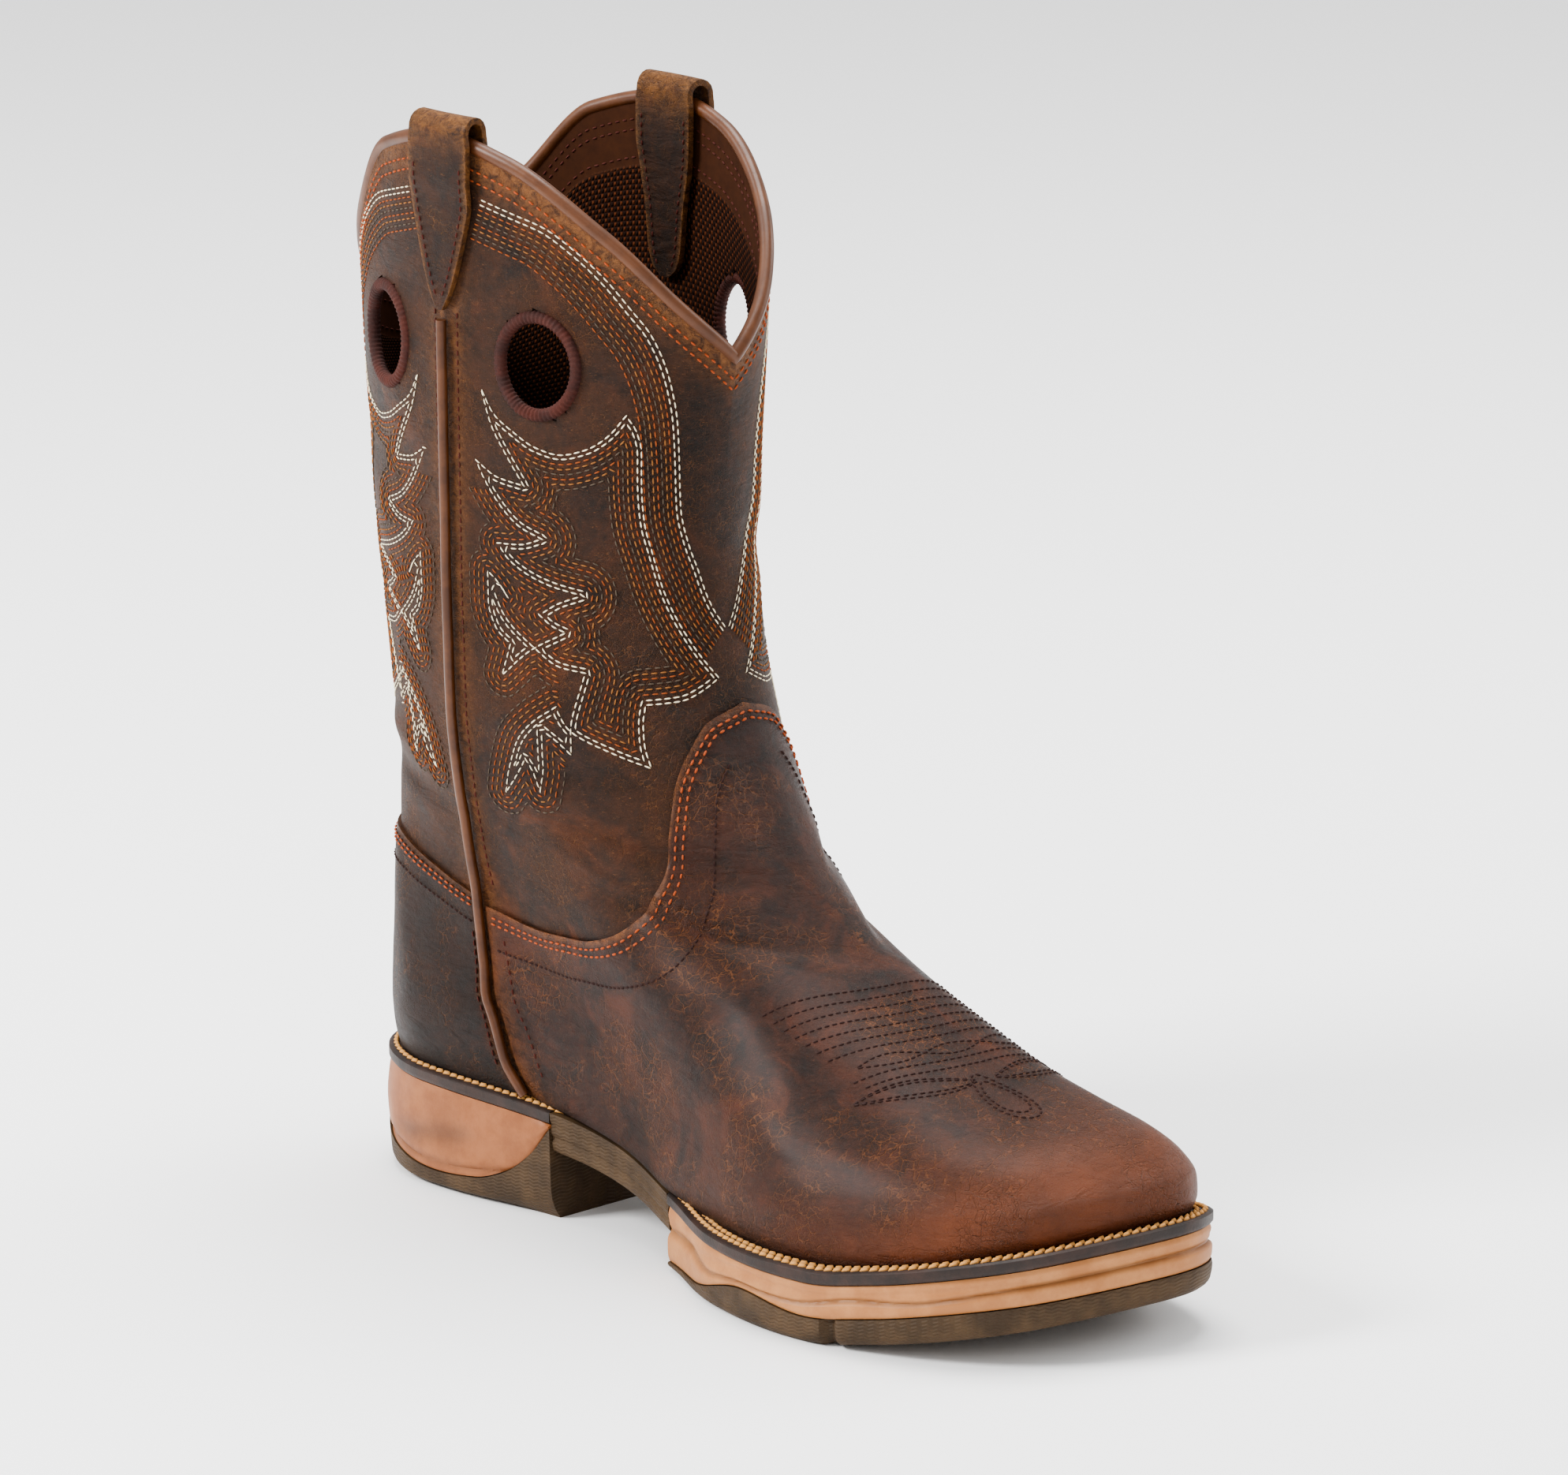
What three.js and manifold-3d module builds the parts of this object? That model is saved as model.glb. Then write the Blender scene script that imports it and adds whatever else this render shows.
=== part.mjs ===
// Western work boot, right foot: pull-on shaft with a scalloped collar, broad square toe, welted sole.
// Millimetres. X runs from heel to toe, Y towards the wearer's left (the inner side), Z up.
// Before the group is centred, x = 0 is the back of the heel and y = 0 the middle of the heel.
import * as THREE from 'three';
import { mergeVertices } from 'three/addons/utils/BufferGeometryUtils.js';
import Module from 'manifold-3d';

const wasm = await Module();
wasm.setup();

// Sole sizes
const SOLE_LENGTH = 308;
const BALL_WIDTH = 115;
const HEEL_WIDTH = 76;
const HEEL_LENGTH = 92;
const FOREFOOT_START = 152;
const HEEL_SEAT = 34;
const BALL_SEAT = 18.5;
const TOE_SPRING = 15;
const OUTSOLE_THICKNESS = 8;
const SHANK_THICKNESS = 15;
const WELT_THICKNESS = 4;
const WELT_REACH = 8.5;
const HEEL_REACH = 5.5;
const WAIST_REACH = 2;
const INSOLE_THICKNESS = 4;
const GROOVE_WIDTH = 4;
const GROOVE_DEPTH = 2.5;
const GROOVE_PITCH = 15;
const NOTCH_WIDTH = 3;

// Upper sizes
const LEG_HEIGHT = 290;
const COLLAR_RISE = 60;
const SHAFT_WIDTH = 94;
const SHAFT_LEAN = 8;
const WALL = 2.4;
const OVERLAY = 1.4;
const VAMP_PEAK = 162;
const COUNTER_PEAK = 108;
const BINDING_DIAMETER = 4.4;
const PIPING_DIAMETER = 3.2;
const STRAP_WIDTH = 25;
const STRAP_THICKNESS = 2;
const STRAP_DROP_OUTSIDE = 50;
const STRAP_DROP_INSIDE = 53;
const HOLE_WIDTH = 22;
const HOLE_HEIGHT = 26;
const HOLE_LEVEL = 263;
const RING_BREADTH = 3.5;
const RING_PROUD = 0.9;

// Clearances and the fineness of the facets
const GAP = 0.3;
const SEAT_GAP = 0.55;
const SEAM_MARGIN = 3.1;
const STATIONS = 24;
const ROWS_PER_RING = 1;

// Half outlines of the sole, from the back of the heel to the tip of the toe.
// at: share of SOLE_LENGTH; out: share of the width named in width.
const LATERAL = [
  { at: 0.000, out: 0.000, width: HEEL_WIDTH },
  { at: 0.013, out: 0.230, width: HEEL_WIDTH },
  { at: 0.044, out: 0.375, width: HEEL_WIDTH },
  { at: 0.097, out: 0.474, width: HEEL_WIDTH },
  { at: 0.162, out: 0.487, width: HEEL_WIDTH },
  { at: 0.286, out: 0.441, width: HEEL_WIDTH },
  { at: 0.406, out: 0.278, width: BALL_WIDTH },
  { at: 0.506, out: 0.365, width: BALL_WIDTH },
  { at: 0.601, out: 0.478, width: BALL_WIDTH },
  { at: 0.692, out: 0.517, width: BALL_WIDTH },
  { at: 0.779, out: 0.487, width: BALL_WIDTH },
  { at: 0.851, out: 0.422, width: BALL_WIDTH },
  { at: 0.906, out: 0.335, width: BALL_WIDTH },
  { at: 0.943, out: 0.226, width: BALL_WIDTH },
  { at: 0.966, out: 0.087, width: BALL_WIDTH },
  { at: 0.982, out: -0.061, width: BALL_WIDTH },
  { at: 0.990, out: -0.191, width: BALL_WIDTH },
];
const MEDIAL = [
  { at: 0.000, out: 0.000, width: HEEL_WIDTH },
  { at: 0.013, out: 0.230, width: HEEL_WIDTH },
  { at: 0.044, out: 0.375, width: HEEL_WIDTH },
  { at: 0.097, out: 0.474, width: HEEL_WIDTH },
  { at: 0.162, out: 0.480, width: HEEL_WIDTH },
  { at: 0.286, out: 0.434, width: HEEL_WIDTH },
  { at: 0.399, out: 0.257, width: BALL_WIDTH },
  { at: 0.497, out: 0.322, width: BALL_WIDTH },
  { at: 0.601, out: 0.430, width: BALL_WIDTH },
  { at: 0.688, out: 0.483, width: BALL_WIDTH },
  { at: 0.779, out: 0.483, width: BALL_WIDTH },
  { at: 0.870, out: 0.452, width: BALL_WIDTH },
  { at: 0.932, out: 0.409, width: BALL_WIDTH },
  { at: 0.966, out: 0.357, width: BALL_WIDTH },
  { at: 0.985, out: 0.274, width: BALL_WIDTH },
  { at: 0.990, out: 0.191, width: BALL_WIDTH },
];

// Heights along the sole. at: share of SOLE_LENGTH.
// seat: underside of the welt; ground: underside of the forefoot sole; split: top of the forefoot outsole.
const FOREFOOT_PROFILE = [
  { at: 0.00, seat: HEEL_SEAT, ground: 0, split: 0 },
  { at: 0.13, seat: HEEL_SEAT * 0.97, ground: 0, split: 0 },
  { at: 0.30, seat: HEEL_SEAT * 0.89, ground: 0, split: OUTSOLE_THICKNESS * 0.1 },
  { at: 0.49, seat: BALL_SEAT * 1.1, ground: OUTSOLE_THICKNESS * 0.1, split: OUTSOLE_THICKNESS * 0.35 },
  { at: 0.56, seat: BALL_SEAT * 1.02, ground: 0, split: OUTSOLE_THICKNESS * 0.45 },
  { at: 0.66, seat: BALL_SEAT, ground: 0, split: OUTSOLE_THICKNESS * 1.3 },
  { at: 0.74, seat: BALL_SEAT, ground: 0, split: OUTSOLE_THICKNESS },
  { at: 0.81, seat: BALL_SEAT + TOE_SPRING * 0.2, ground: TOE_SPRING * 0.2, split: TOE_SPRING * 0.2 + OUTSOLE_THICKNESS },
  { at: 0.91, seat: BALL_SEAT + TOE_SPRING * 0.62, ground: TOE_SPRING * 0.6, split: TOE_SPRING * 0.6 + OUTSOLE_THICKNESS },
  { at: 1.00, seat: BALL_SEAT + TOE_SPRING * 1.02, ground: TOE_SPRING, split: TOE_SPRING + OUTSOLE_THICKNESS * 0.9 },
];

// Top of the heel base, which cups the tan heel midsole. at: share of HEEL_LENGTH; up: share of the
// height of the seat above the ground there.
const HEEL_CUP = [
  { at: 0.00, up: 0.55 },
  { at: 0.10, up: 0.40 },
  { at: 0.26, up: 0.245 },
  { at: 0.48, up: 0.175 },
  { at: 0.66, up: 0.22 },
  { at: 0.80, up: 0.365 },
  { at: 0.91, up: 0.615 },
  { at: 1.00, up: 0.95 },
];

// Rings of the upper, from the welt to the collar.
// back and front: places of its two ends, shares of SOLE_LENGTH; rear and fore: their heights above
// the welt, shares of LEG_HEIGHT; heel and ball: width of the foot shape against the first ring;
// oval: how far the foot shape has turned into the shaft's oval; girth: oval width, share of
// SHAFT_WIDTH; lean: share of SHAFT_LEAN; keep: share of the sole's own curve; rise: of the collar's.
const RINGS = [
  { back: 0.018, rear: 0.000, front: 0.962, fore: 0.000, heel: 1.00, ball: 1.00, oval: 0.00, girth: 0.84, lean: 0.00, keep: 1.00, rise: 0.00 },
  { back: 0.014, rear: 0.017, front: 0.968, fore: 0.018, heel: 1.03, ball: 1.03, oval: 0.00, girth: 0.84, lean: 0.00, keep: 1.00, rise: 0.00 },
  { back: 0.012, rear: 0.036, front: 0.967, fore: 0.037, heel: 1.06, ball: 1.04, oval: 0.02, girth: 0.85, lean: 0.02, keep: 0.95, rise: 0.00 },
  { back: 0.011, rear: 0.055, front: 0.953, fore: 0.056, heel: 1.08, ball: 1.01, oval: 0.05, girth: 0.86, lean: 0.05, keep: 0.85, rise: 0.00 },
  { back: 0.011, rear: 0.076, front: 0.922, fore: 0.072, heel: 1.09, ball: 0.96, oval: 0.09, girth: 0.87, lean: 0.10, keep: 0.70, rise: 0.00 },
  { back: 0.011, rear: 0.097, front: 0.864, fore: 0.086, heel: 1.09, ball: 0.90, oval: 0.14, girth: 0.88, lean: 0.17, keep: 0.50, rise: 0.00 },
  { back: 0.011, rear: 0.120, front: 0.802, fore: 0.102, heel: 1.09, ball: 0.85, oval: 0.20, girth: 0.89, lean: 0.25, keep: 0.35, rise: 0.00 },
  { back: 0.010, rear: 0.145, front: 0.734, fore: 0.128, heel: 1.09, ball: 0.81, oval: 0.28, girth: 0.90, lean: 0.34, keep: 0.20, rise: 0.00 },
  { back: 0.008, rear: 0.172, front: 0.666, fore: 0.155, heel: 1.09, ball: 0.78, oval: 0.37, girth: 0.92, lean: 0.43, keep: 0.10, rise: 0.00 },
  { back: 0.006, rear: 0.200, front: 0.604, fore: 0.183, heel: 1.09, ball: 0.76, oval: 0.47, girth: 0.93, lean: 0.52, keep: 0.00, rise: 0.00 },
  { back: 0.003, rear: 0.232, front: 0.549, fore: 0.222, heel: 1.09, ball: 0.75, oval: 0.58, girth: 0.94, lean: 0.60, keep: 0.00, rise: 0.00 },
  { back: 0.000, rear: 0.270, front: 0.506, fore: 0.274, heel: 1.09, ball: 0.75, oval: 0.69, girth: 0.95, lean: 0.66, keep: 0.00, rise: 0.00 },
  { back: -0.004, rear: 0.315, front: 0.474, fore: 0.328, heel: 1.09, ball: 0.75, oval: 0.80, girth: 0.96, lean: 0.71, keep: 0.00, rise: 0.00 },
  { back: -0.012, rear: 0.372, front: 0.445, fore: 0.395, heel: 1.09, ball: 0.75, oval: 0.90, girth: 0.97, lean: 0.76, keep: 0.00, rise: 0.00 },
  { back: -0.022, rear: 0.445, front: 0.422, fore: 0.467, heel: 1.09, ball: 0.75, oval: 0.97, girth: 0.97, lean: 0.81, keep: 0.00, rise: 0.00 },
  { back: -0.036, rear: 0.540, front: 0.411, fore: 0.559, heel: 1.09, ball: 0.75, oval: 1.00, girth: 0.98, lean: 0.87, keep: 0.00, rise: 0.00 },
  { back: -0.049, rear: 0.635, front: 0.412, fore: 0.645, heel: 1.09, ball: 0.75, oval: 1.00, girth: 0.99, lean: 0.92, keep: 0.00, rise: 0.20 },
  { back: -0.058, rear: 0.720, front: 0.418, fore: 0.721, heel: 1.09, ball: 0.75, oval: 1.00, girth: 1.00, lean: 0.97, keep: 0.00, rise: 0.58 },
  { back: -0.065, rear: 0.790, front: 0.425, fore: 0.779, heel: 1.09, ball: 0.75, oval: 1.00, girth: 1.00, lean: 1.00, keep: 0.00, rise: 1.00 },
];

// Height of the collar above its front and back dips. around: share from the back to the front.
const COLLAR = [
  { around: 0.00, up: 0.00 },
  { around: 0.10, up: 0.08 },
  { around: 0.25, up: 0.50 },
  { around: 0.36, up: 0.88 },
  { around: 0.50, up: 1.00 },
  { around: 0.60, up: 0.93 },
  { around: 0.75, up: 0.62 },
  { around: 0.88, up: 0.27 },
  { around: 1.00, up: 0.00 },
];

// Side seam. up: height, share of LEG_HEIGHT; at: place, share of SOLE_LENGTH.
const SEAM = [
  { up: 0.125, at: 0.262 },
  { up: 0.150, at: 0.243 },
  { up: 0.235, at: 0.208 },
  { up: 0.310, at: 0.197 },
  { up: 0.400, at: 0.191 },
  { up: 0.700, at: 0.184 },
  { up: 1.100, at: 0.180 },
];

// Upper edges of the vamp overlay, from the seam to the front, and of the counter, from back to seam.
const VAMP_EDGE = [
  { along: 0.00, up: 0.571 },
  { along: 0.13, up: 0.560 },
  { along: 0.28, up: 0.568 },
  { along: 0.40, up: 0.592 },
  { along: 0.51, up: 0.638 },
  { along: 0.60, up: 0.710 },
  { along: 0.65, up: 0.800 },
  { along: 0.69, up: 0.870 },
  { along: 0.75, up: 0.925 },
  { along: 0.84, up: 0.975 },
  { along: 1.00, up: 1.000 },
];
const COUNTER_EDGE = [
  { along: 0.00, up: 1.000 },
  { along: 0.35, up: 0.980 },
  { along: 0.70, up: 0.930 },
  { along: 1.00, up: 0.880 },
];

// Centres of the pull holes around each side, shares from the back to the front.
const HOLES = [
  { name: 'back', around: 0.352 },
  { name: 'front', around: 0.655 },
];

const SIDES = [
  { name: 'lateral', sign: -1 },
  { name: 'medial', sign: 1 },
];

// Colour, roughness and metalness of each material.
const LEATHER = new THREE.MeshStandardMaterial({ color: 0x5b3a26, roughness: 0.75, metalness: 0 });
const VAMP_LEATHER = new THREE.MeshStandardMaterial({ color: 0x6a3f29, roughness: 0.65, metalness: 0 });
const COUNTER_LEATHER = new THREE.MeshStandardMaterial({ color: 0x3b2c22, roughness: 0.7, metalness: 0 });
const BINDING = new THREE.MeshStandardMaterial({ color: 0x6b4e38, roughness: 0.55, metalness: 0 });
const THREAD_RING = new THREE.MeshStandardMaterial({ color: 0x4a2620, roughness: 0.85, metalness: 0 });
const WELT = new THREE.MeshStandardMaterial({ color: 0x3b2722, roughness: 0.7, metalness: 0 });
const MIDSOLE = new THREE.MeshStandardMaterial({ color: 0xb98860, roughness: 0.6, metalness: 0 });
const OUTSOLE = new THREE.MeshStandardMaterial({ color: 0x5f4a33, roughness: 0.7, metalness: 0 });
const FOOTBED = new THREE.MeshStandardMaterial({ color: 0x3a2a20, roughness: 0.9, metalness: 0 });

const mix = (a, b, share) => a + (b - a) * share;
const clamp = (value, low, high) => Math.min(high, Math.max(low, value));

// Smooth curve through a table's column that never overshoots its rows.
function tableCurve(rows, key, column) {
  const xs = rows.map((row) => row[key]);
  const ys = rows.map((row) => row[column]);
  const last = rows.length - 1;
  const steps = xs.slice(1).map((x, i) => (ys[i + 1] - ys[i]) / (x - xs[i]));
  const slopes = xs.map((x, i) => {
    if (i === 0) return steps[0];
    if (i === last) return steps[last - 1];
    const product = steps[i - 1] * steps[i];
    return product > 0 ? 2 * product / (steps[i - 1] + steps[i]) : 0;
  });
  return (at) => {
    const x = clamp(at, xs[0], xs[last]);
    const i = x < xs[last] ? xs.findIndex((edge) => edge > x) - 1 : last - 1;
    const width = xs[i + 1] - xs[i];
    const s = (x - xs[i]) / width;
    const rest = 1 - s;
    return ys[i] * (1 + 2 * s) * rest * rest + ys[i + 1] * (1 + 2 * rest) * s * s
      + width * (slopes[i] * s * rest * rest - slopes[i + 1] * rest * s * s);
  };
}

// A closed solid from a merged three.js geometry, and back.
function solid(geometry) {
  const plain = geometry.clone();
  plain.deleteAttribute('normal');
  plain.deleteAttribute('uv');
  const merged = mergeVertices(plain, 1e-4);
  return new wasm.Manifold(new wasm.Mesh({
    numProp: 3,
    vertProperties: new Float32Array(merged.getAttribute('position').array),
    triVerts: new Uint32Array(merged.getIndex().array),
  }));
}
function fromSolid(body) {
  const mesh = body.getMesh();
  const geometry = new THREE.BufferGeometry();
  geometry.setAttribute('position', new THREE.BufferAttribute(new Float32Array(mesh.vertProperties), 3));
  geometry.setIndex(new THREE.BufferAttribute(new Uint32Array(mesh.triVerts), 1));
  return geometry;
}

// Geometry from a list of points and a list of triangles.
function facets(points, triangles) {
  const geometry = new THREE.BufferGeometry();
  geometry.setAttribute('position', new THREE.Float32BufferAttribute(points.flatMap((p) => [p.x, p.y, p.z]), 3));
  geometry.setIndex(triangles.flat());
  return geometry;
}

// Loft through closed sections of equal length; it closes on itself or is capped by fans.
function loft(sections, closed) {
  const size = sections[0].length;
  const points = sections.flat();
  const triangles = [];
  const count = closed ? sections.length : sections.length - 1;
  for (let row = 0; row < count; row += 1) {
    const next = ((row + 1) % sections.length) * size;
    for (let i = 0; i < size; i += 1) {
      const j = (i + 1) % size;
      triangles.push([row * size + i, row * size + j, next + j]);
      triangles.push([row * size + i, next + j, next + i]);
    }
  }
  if (!closed) {
    const top = (sections.length - 1) * size;
    for (let i = 1; i < size - 1; i += 1) {
      triangles.push([0, i + 1, i]);
      triangles.push([top, top + i, top + i + 1]);
    }
  }
  return facets(points, triangles);
}

// Outline of the sole: a closed curve, then each half resampled with closer steps at heel and toe.
function halfPoints(rows, sign) {
  return rows.map((row) => new THREE.Vector3(row.at * SOLE_LENGTH, sign * row.out * row.width, 0));
}
function resample(points, count) {
  const lengths = [0];
  for (let i = 1; i < points.length; i += 1) {
    lengths.push(lengths[i - 1] + points[i].distanceTo(points[i - 1]));
  }
  const total = lengths[lengths.length - 1];
  return Array.from({ length: count }, (_, i) => {
    const aim = total * i / (count - 1);
    const hit = Math.max(1, lengths.findIndex((length) => length >= aim - 1e-9));
    const share = (aim - lengths[hit - 1]) / (lengths[hit] - lengths[hit - 1]);
    return points[hit - 1].clone().lerp(points[hit], share);
  });
}
const FINE = 240;
const lateralPoints = halfPoints(LATERAL, -1);
const medialPoints = halfPoints(MEDIAL, 1).slice(1, -1).reverse();
const outline = new THREE.CatmullRomCurve3([...lateralPoints, ...medialPoints], true, 'centripetal');
const tipShare = (lateralPoints.length - 1) / (lateralPoints.length + medialPoints.length);
const fineOutline = Array.from({ length: 2 * FINE }, (_, i) => (
  outline.getPoint(i < FINE ? tipShare * i / FINE : mix(tipShare, 1, (i - FINE) / FINE))
));

// The outline moved inwards by reach(x).
function insetOutline(reach) {
  const size = fineOutline.length;
  return fineOutline.map((point, i) => {
    const along = fineOutline[(i + 1) % size].clone().sub(fineOutline[(i + size - 1) % size]).normalize();
    const distance = reach(point.x);
    return new THREE.Vector3(point.x - along.y * distance, point.y + along.x * distance, 0);
  });
}
// The same as two halves from heel to toe, in steps of equal length.
function insetHalves(reach) {
  const moved = insetOutline(reach);
  return {
    lateral: resample(moved.slice(0, FINE + 1), FINE),
    medial: resample([moved[0], ...moved.slice(FINE).reverse()], FINE),
  };
}

// Share along a half of the upper for each of its columns, closer together at both ends.
const CROWDING = 0.45;
const stationShare = (i) => {
  const even = i / (STATIONS - 1);
  return even - CROWDING * Math.sin(2 * Math.PI * even) / (2 * Math.PI);
};
const onHalf = (half, share) => {
  const place = clamp(share, 0, 1) * (half.length - 1);
  const index = Math.min(half.length - 2, Math.floor(place));
  return half[index].clone().lerp(half[index + 1], place - index);
};
// One closed loop of stations: heel to toe on the outer side and back on the inner side, with the
// two sides at the same places along X and closer together at heel and toe.
function stationLoop(moved) {
  const order = moved.map((_, i) => i).sort((a, b) => moved[a].x - moved[b].x);
  const heel = order[0];
  const turned = [...moved.slice(heel), ...moved.slice(0, heel), moved[heel]];
  const toe = (order[order.length - 1] + moved.length - heel) % moved.length;
  const halves = [turned.slice(0, toe + 1), turned.slice(toe).reverse()];
  const stationOn = (half, i) => {
    const x = mix(half[0].x, half[half.length - 1].x, (1 - Math.cos(Math.PI * i / (STATIONS - 1))) / 2);
    const next = clamp(half.findIndex((point) => point.x >= x), 1, half.length - 1);
    const run = half[next].x - half[next - 1].x;
    return half[next - 1].clone().lerp(half[next], run > 0 ? clamp((x - half[next - 1].x) / run, 0, 1) : 1);
  };
  const lateral = Array.from({ length: STATIONS - 1 }, (_, i) => stationOn(halves[0], i));
  const medial = Array.from({ length: STATIONS - 2 }, (_, i) => stationOn(halves[1], STATIONS - 2 - i));
  return [...lateral, turned[toe], ...medial];
}

// A plate of the sole from bottom to top levels, each an inset outline with its own height.
// An inset is a distance or a function of x.
function plate(levels) {
  const loops = levels.map(({ inset, height }) => (
    stationLoop(insetOutline(typeof inset === 'number' ? () => inset : inset))
      .map((p) => new THREE.Vector3(p.x, p.y, height(p.x)))
  ));
  const size = loops[0].length;
  const triangles = [];
  for (let row = 0; row < loops.length - 1; row += 1) {
    for (let i = 0; i < size; i += 1) {
      const j = (i + 1) % size;
      triangles.push([row * size + i, row * size + j, (row + 1) * size + j]);
      triangles.push([row * size + i, (row + 1) * size + j, (row + 1) * size + i]);
    }
  }
  const top = (loops.length - 1) * size;
  for (let i = 0; i < STATIONS - 1; i += 1) {
    const a = i;
    const b = i + 1;
    const c = (size - i) % size;
    const d = size - i - 1;
    if (i > 0) {
      triangles.push([a, c, b]);
      triangles.push([top + a, top + b, top + c]);
    }
    if (i < STATIONS - 2) {
      triangles.push([b, c, d]);
      triangles.push([top + b, top + d, top + c]);
    }
  }
  return solid(facets(loops.flat(), triangles));
}

function box(length, width, height, x, y, z, turn = 0) {
  const geometry = new THREE.BoxGeometry(length, width, height);
  geometry.rotateZ(turn);
  geometry.translate(x, y, z);
  return solid(geometry);
}
const FAR = 2 * SOLE_LENGTH;
const between = (body, start, end) => body.intersect(box(end - start, FAR, FAR, (start + end) / 2, 0, 0));

// Heights of the sole at a distance x from the back of the heel.
const seat = tableCurve(FOREFOOT_PROFILE, 'at', 'seat');
const ground = tableCurve(FOREFOOT_PROFILE, 'at', 'ground');
const split = tableCurve(FOREFOOT_PROFILE, 'at', 'split');
const cup = tableCurve(HEEL_CUP, 'at', 'up');
const seatAt = (x) => seat(x / SOLE_LENGTH);
const groundAt = (x) => ground(x / SOLE_LENGTH);
const splitAt = (x) => split(x / SOLE_LENGTH);
const cupAt = (x) => cup(x / HEEL_LENGTH) * seatAt(x);
const weltTop = (x) => seatAt(x) + WELT_THICKNESS;

// Heel base with its rounded back, joined to the arched shank behind the forefoot.
function buildHeelBase() {
  const base = between(plate([
    { inset: 5, height: () => 0 },
    { inset: 2.5, height: () => 1.5 },
    { inset: 0.6, height: (x) => Math.min(5, cupAt(x) - 1) },
    { inset: 0, height: cupAt },
  ]), -GAP, HEEL_LENGTH);
  const shank = between(plate([
    { inset: 7, height: (x) => weltTop(x) - SHANK_THICKNESS },
    { inset: 1.2, height: (x) => weltTop(x) - SHANK_THICKNESS * 0.8 },
    { inset: 0.4, height: (x) => weltTop(x) - SHANK_THICKNESS * 0.3 },
    { inset: 0, height: weltTop },
  ]), HEEL_LENGTH - SHANK_THICKNESS / 3, FOREFOOT_START - GAP);
  const clearOfHeel = shank.subtract(buildHeelMidsole(GAP)).subtract(buildWelt(-GAP, HEEL_LENGTH + GAP, GAP));
  return base.add(clearOfHeel).subtract(heelGrooves());
}

// Tan heel midsole in the cup of the heel base; grow widens it when it is used as a cutter.
function buildHeelMidsole(grow = 0) {
  return between(plate([
    { inset: 0.4 - grow, height: (x) => cupAt(x) + GAP - grow },
    { inset: -0.4 - grow, height: (x) => mix(cupAt(x) + GAP, seatAt(x), 0.45) },
    { inset: 0.8 - grow, height: (x) => seatAt(x) - GAP + grow },
  ]), -GAP, HEEL_LENGTH + grow);
}

function buildWelt(start, end, grow = 0) {
  return between(plate([
    { inset: 0.8 - grow, height: (x) => seatAt(x) - grow },
    { inset: -grow, height: (x) => seatAt(x) + WELT_THICKNESS * 0.25 },
    { inset: -grow, height: (x) => seatAt(x) + WELT_THICKNESS * 0.8 },
    { inset: 0.9 - grow, height: (x) => weltTop(x) + grow },
  ]), start, end);
}

function buildForefootMidsole() {
  return between(plate([
    { inset: 1.0, height: (x) => splitAt(x) + GAP },
    { inset: 0.3, height: (x) => mix(splitAt(x) + GAP, seatAt(x), 0.35) },
    { inset: 1.6, height: (x) => mix(splitAt(x) + GAP, seatAt(x), 0.6) },
    { inset: 0.8, height: (x) => mix(splitAt(x) + GAP, seatAt(x), 0.75) },
    { inset: 1.2, height: (x) => seatAt(x) - GAP },
  ]), FOREFOOT_START, SOLE_LENGTH + GAP);
}

function buildForefootOutsole() {
  const block = between(plate([
    { inset: 3, height: groundAt },
    { inset: 0.8, height: (x) => mix(groundAt(x), splitAt(x), 0.3) },
    { inset: 0.2, height: splitAt },
  ]), FOREFOOT_START, SOLE_LENGTH + GAP);
  return block.subtract(forefootGrooves()).subtract(sideNotches());
}

// Tread: chevron grooves across the forefoot and straight ones across the heel.
const joined = (bodies) => bodies.reduce((sum, body) => sum.add(body));
function forefootGrooves() {
  const first = SOLE_LENGTH * 0.57;
  const count = Math.floor((SOLE_LENGTH * 0.97 - first) / GROOVE_PITCH);
  const bars = Array.from({ length: count }, (_, i) => first + GROOVE_PITCH * (i + 0.5));
  const turn = 0.32;
  const reach = BALL_WIDTH * 0.36;
  return joined(bars.flatMap((x) => [-1, 1].map((side) => (
    box(GROOVE_WIDTH, reach, 2 * GROOVE_DEPTH, x, side * reach * 0.52, groundAt(x), side * turn)
  ))));
}
function heelGrooves() {
  const bars = [0.3, 0.5, 0.7].map((share) => share * HEEL_LENGTH);
  return joined(bars.map((x) => box(GROOVE_WIDTH, HEEL_WIDTH * 0.7, 2 * GROOVE_DEPTH, x, 0, 0)));
}
function sideNotches() {
  const x = SOLE_LENGTH * 0.77;
  return joined(SIDES.map(({ sign }) => (
    box(NOTCH_WIDTH, NOTCH_WIDTH * 4, FAR, x, sign * BALL_WIDTH * 0.52, 0)
  )));
}

// First ring of the upper: the outline inset by what the welt, the waist and the heel show.
const reachTable = tableCurve([
  { at: 0.00, reach: HEEL_REACH },
  { at: 0.25, reach: HEEL_REACH * 0.85 },
  { at: 0.38, reach: WAIST_REACH },
  { at: 0.47, reach: WAIST_REACH },
  { at: 0.60, reach: WELT_REACH * 0.9 },
  { at: 1.00, reach: WELT_REACH },
], 'at', 'reach');
const footHalves = insetHalves((x) => reachTable(x / SOLE_LENGTH));
const footStart = footHalves.lateral[0].x;
const footEnd = Math.max(...footHalves.lateral.map((p) => p.x), ...footHalves.medial.map((p) => p.x));
const ringTable = RINGS.map((row, index) => ({ index, ...row }));
const ringCurves = Object.fromEntries(
  Object.keys(RINGS[0]).map((column) => [column, tableCurve(ringTable, 'index', column)]),
);
const LAST_RING = RINGS.length - 1;
const collarCurve = tableCurve(COLLAR, 'around', 'up');

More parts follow.
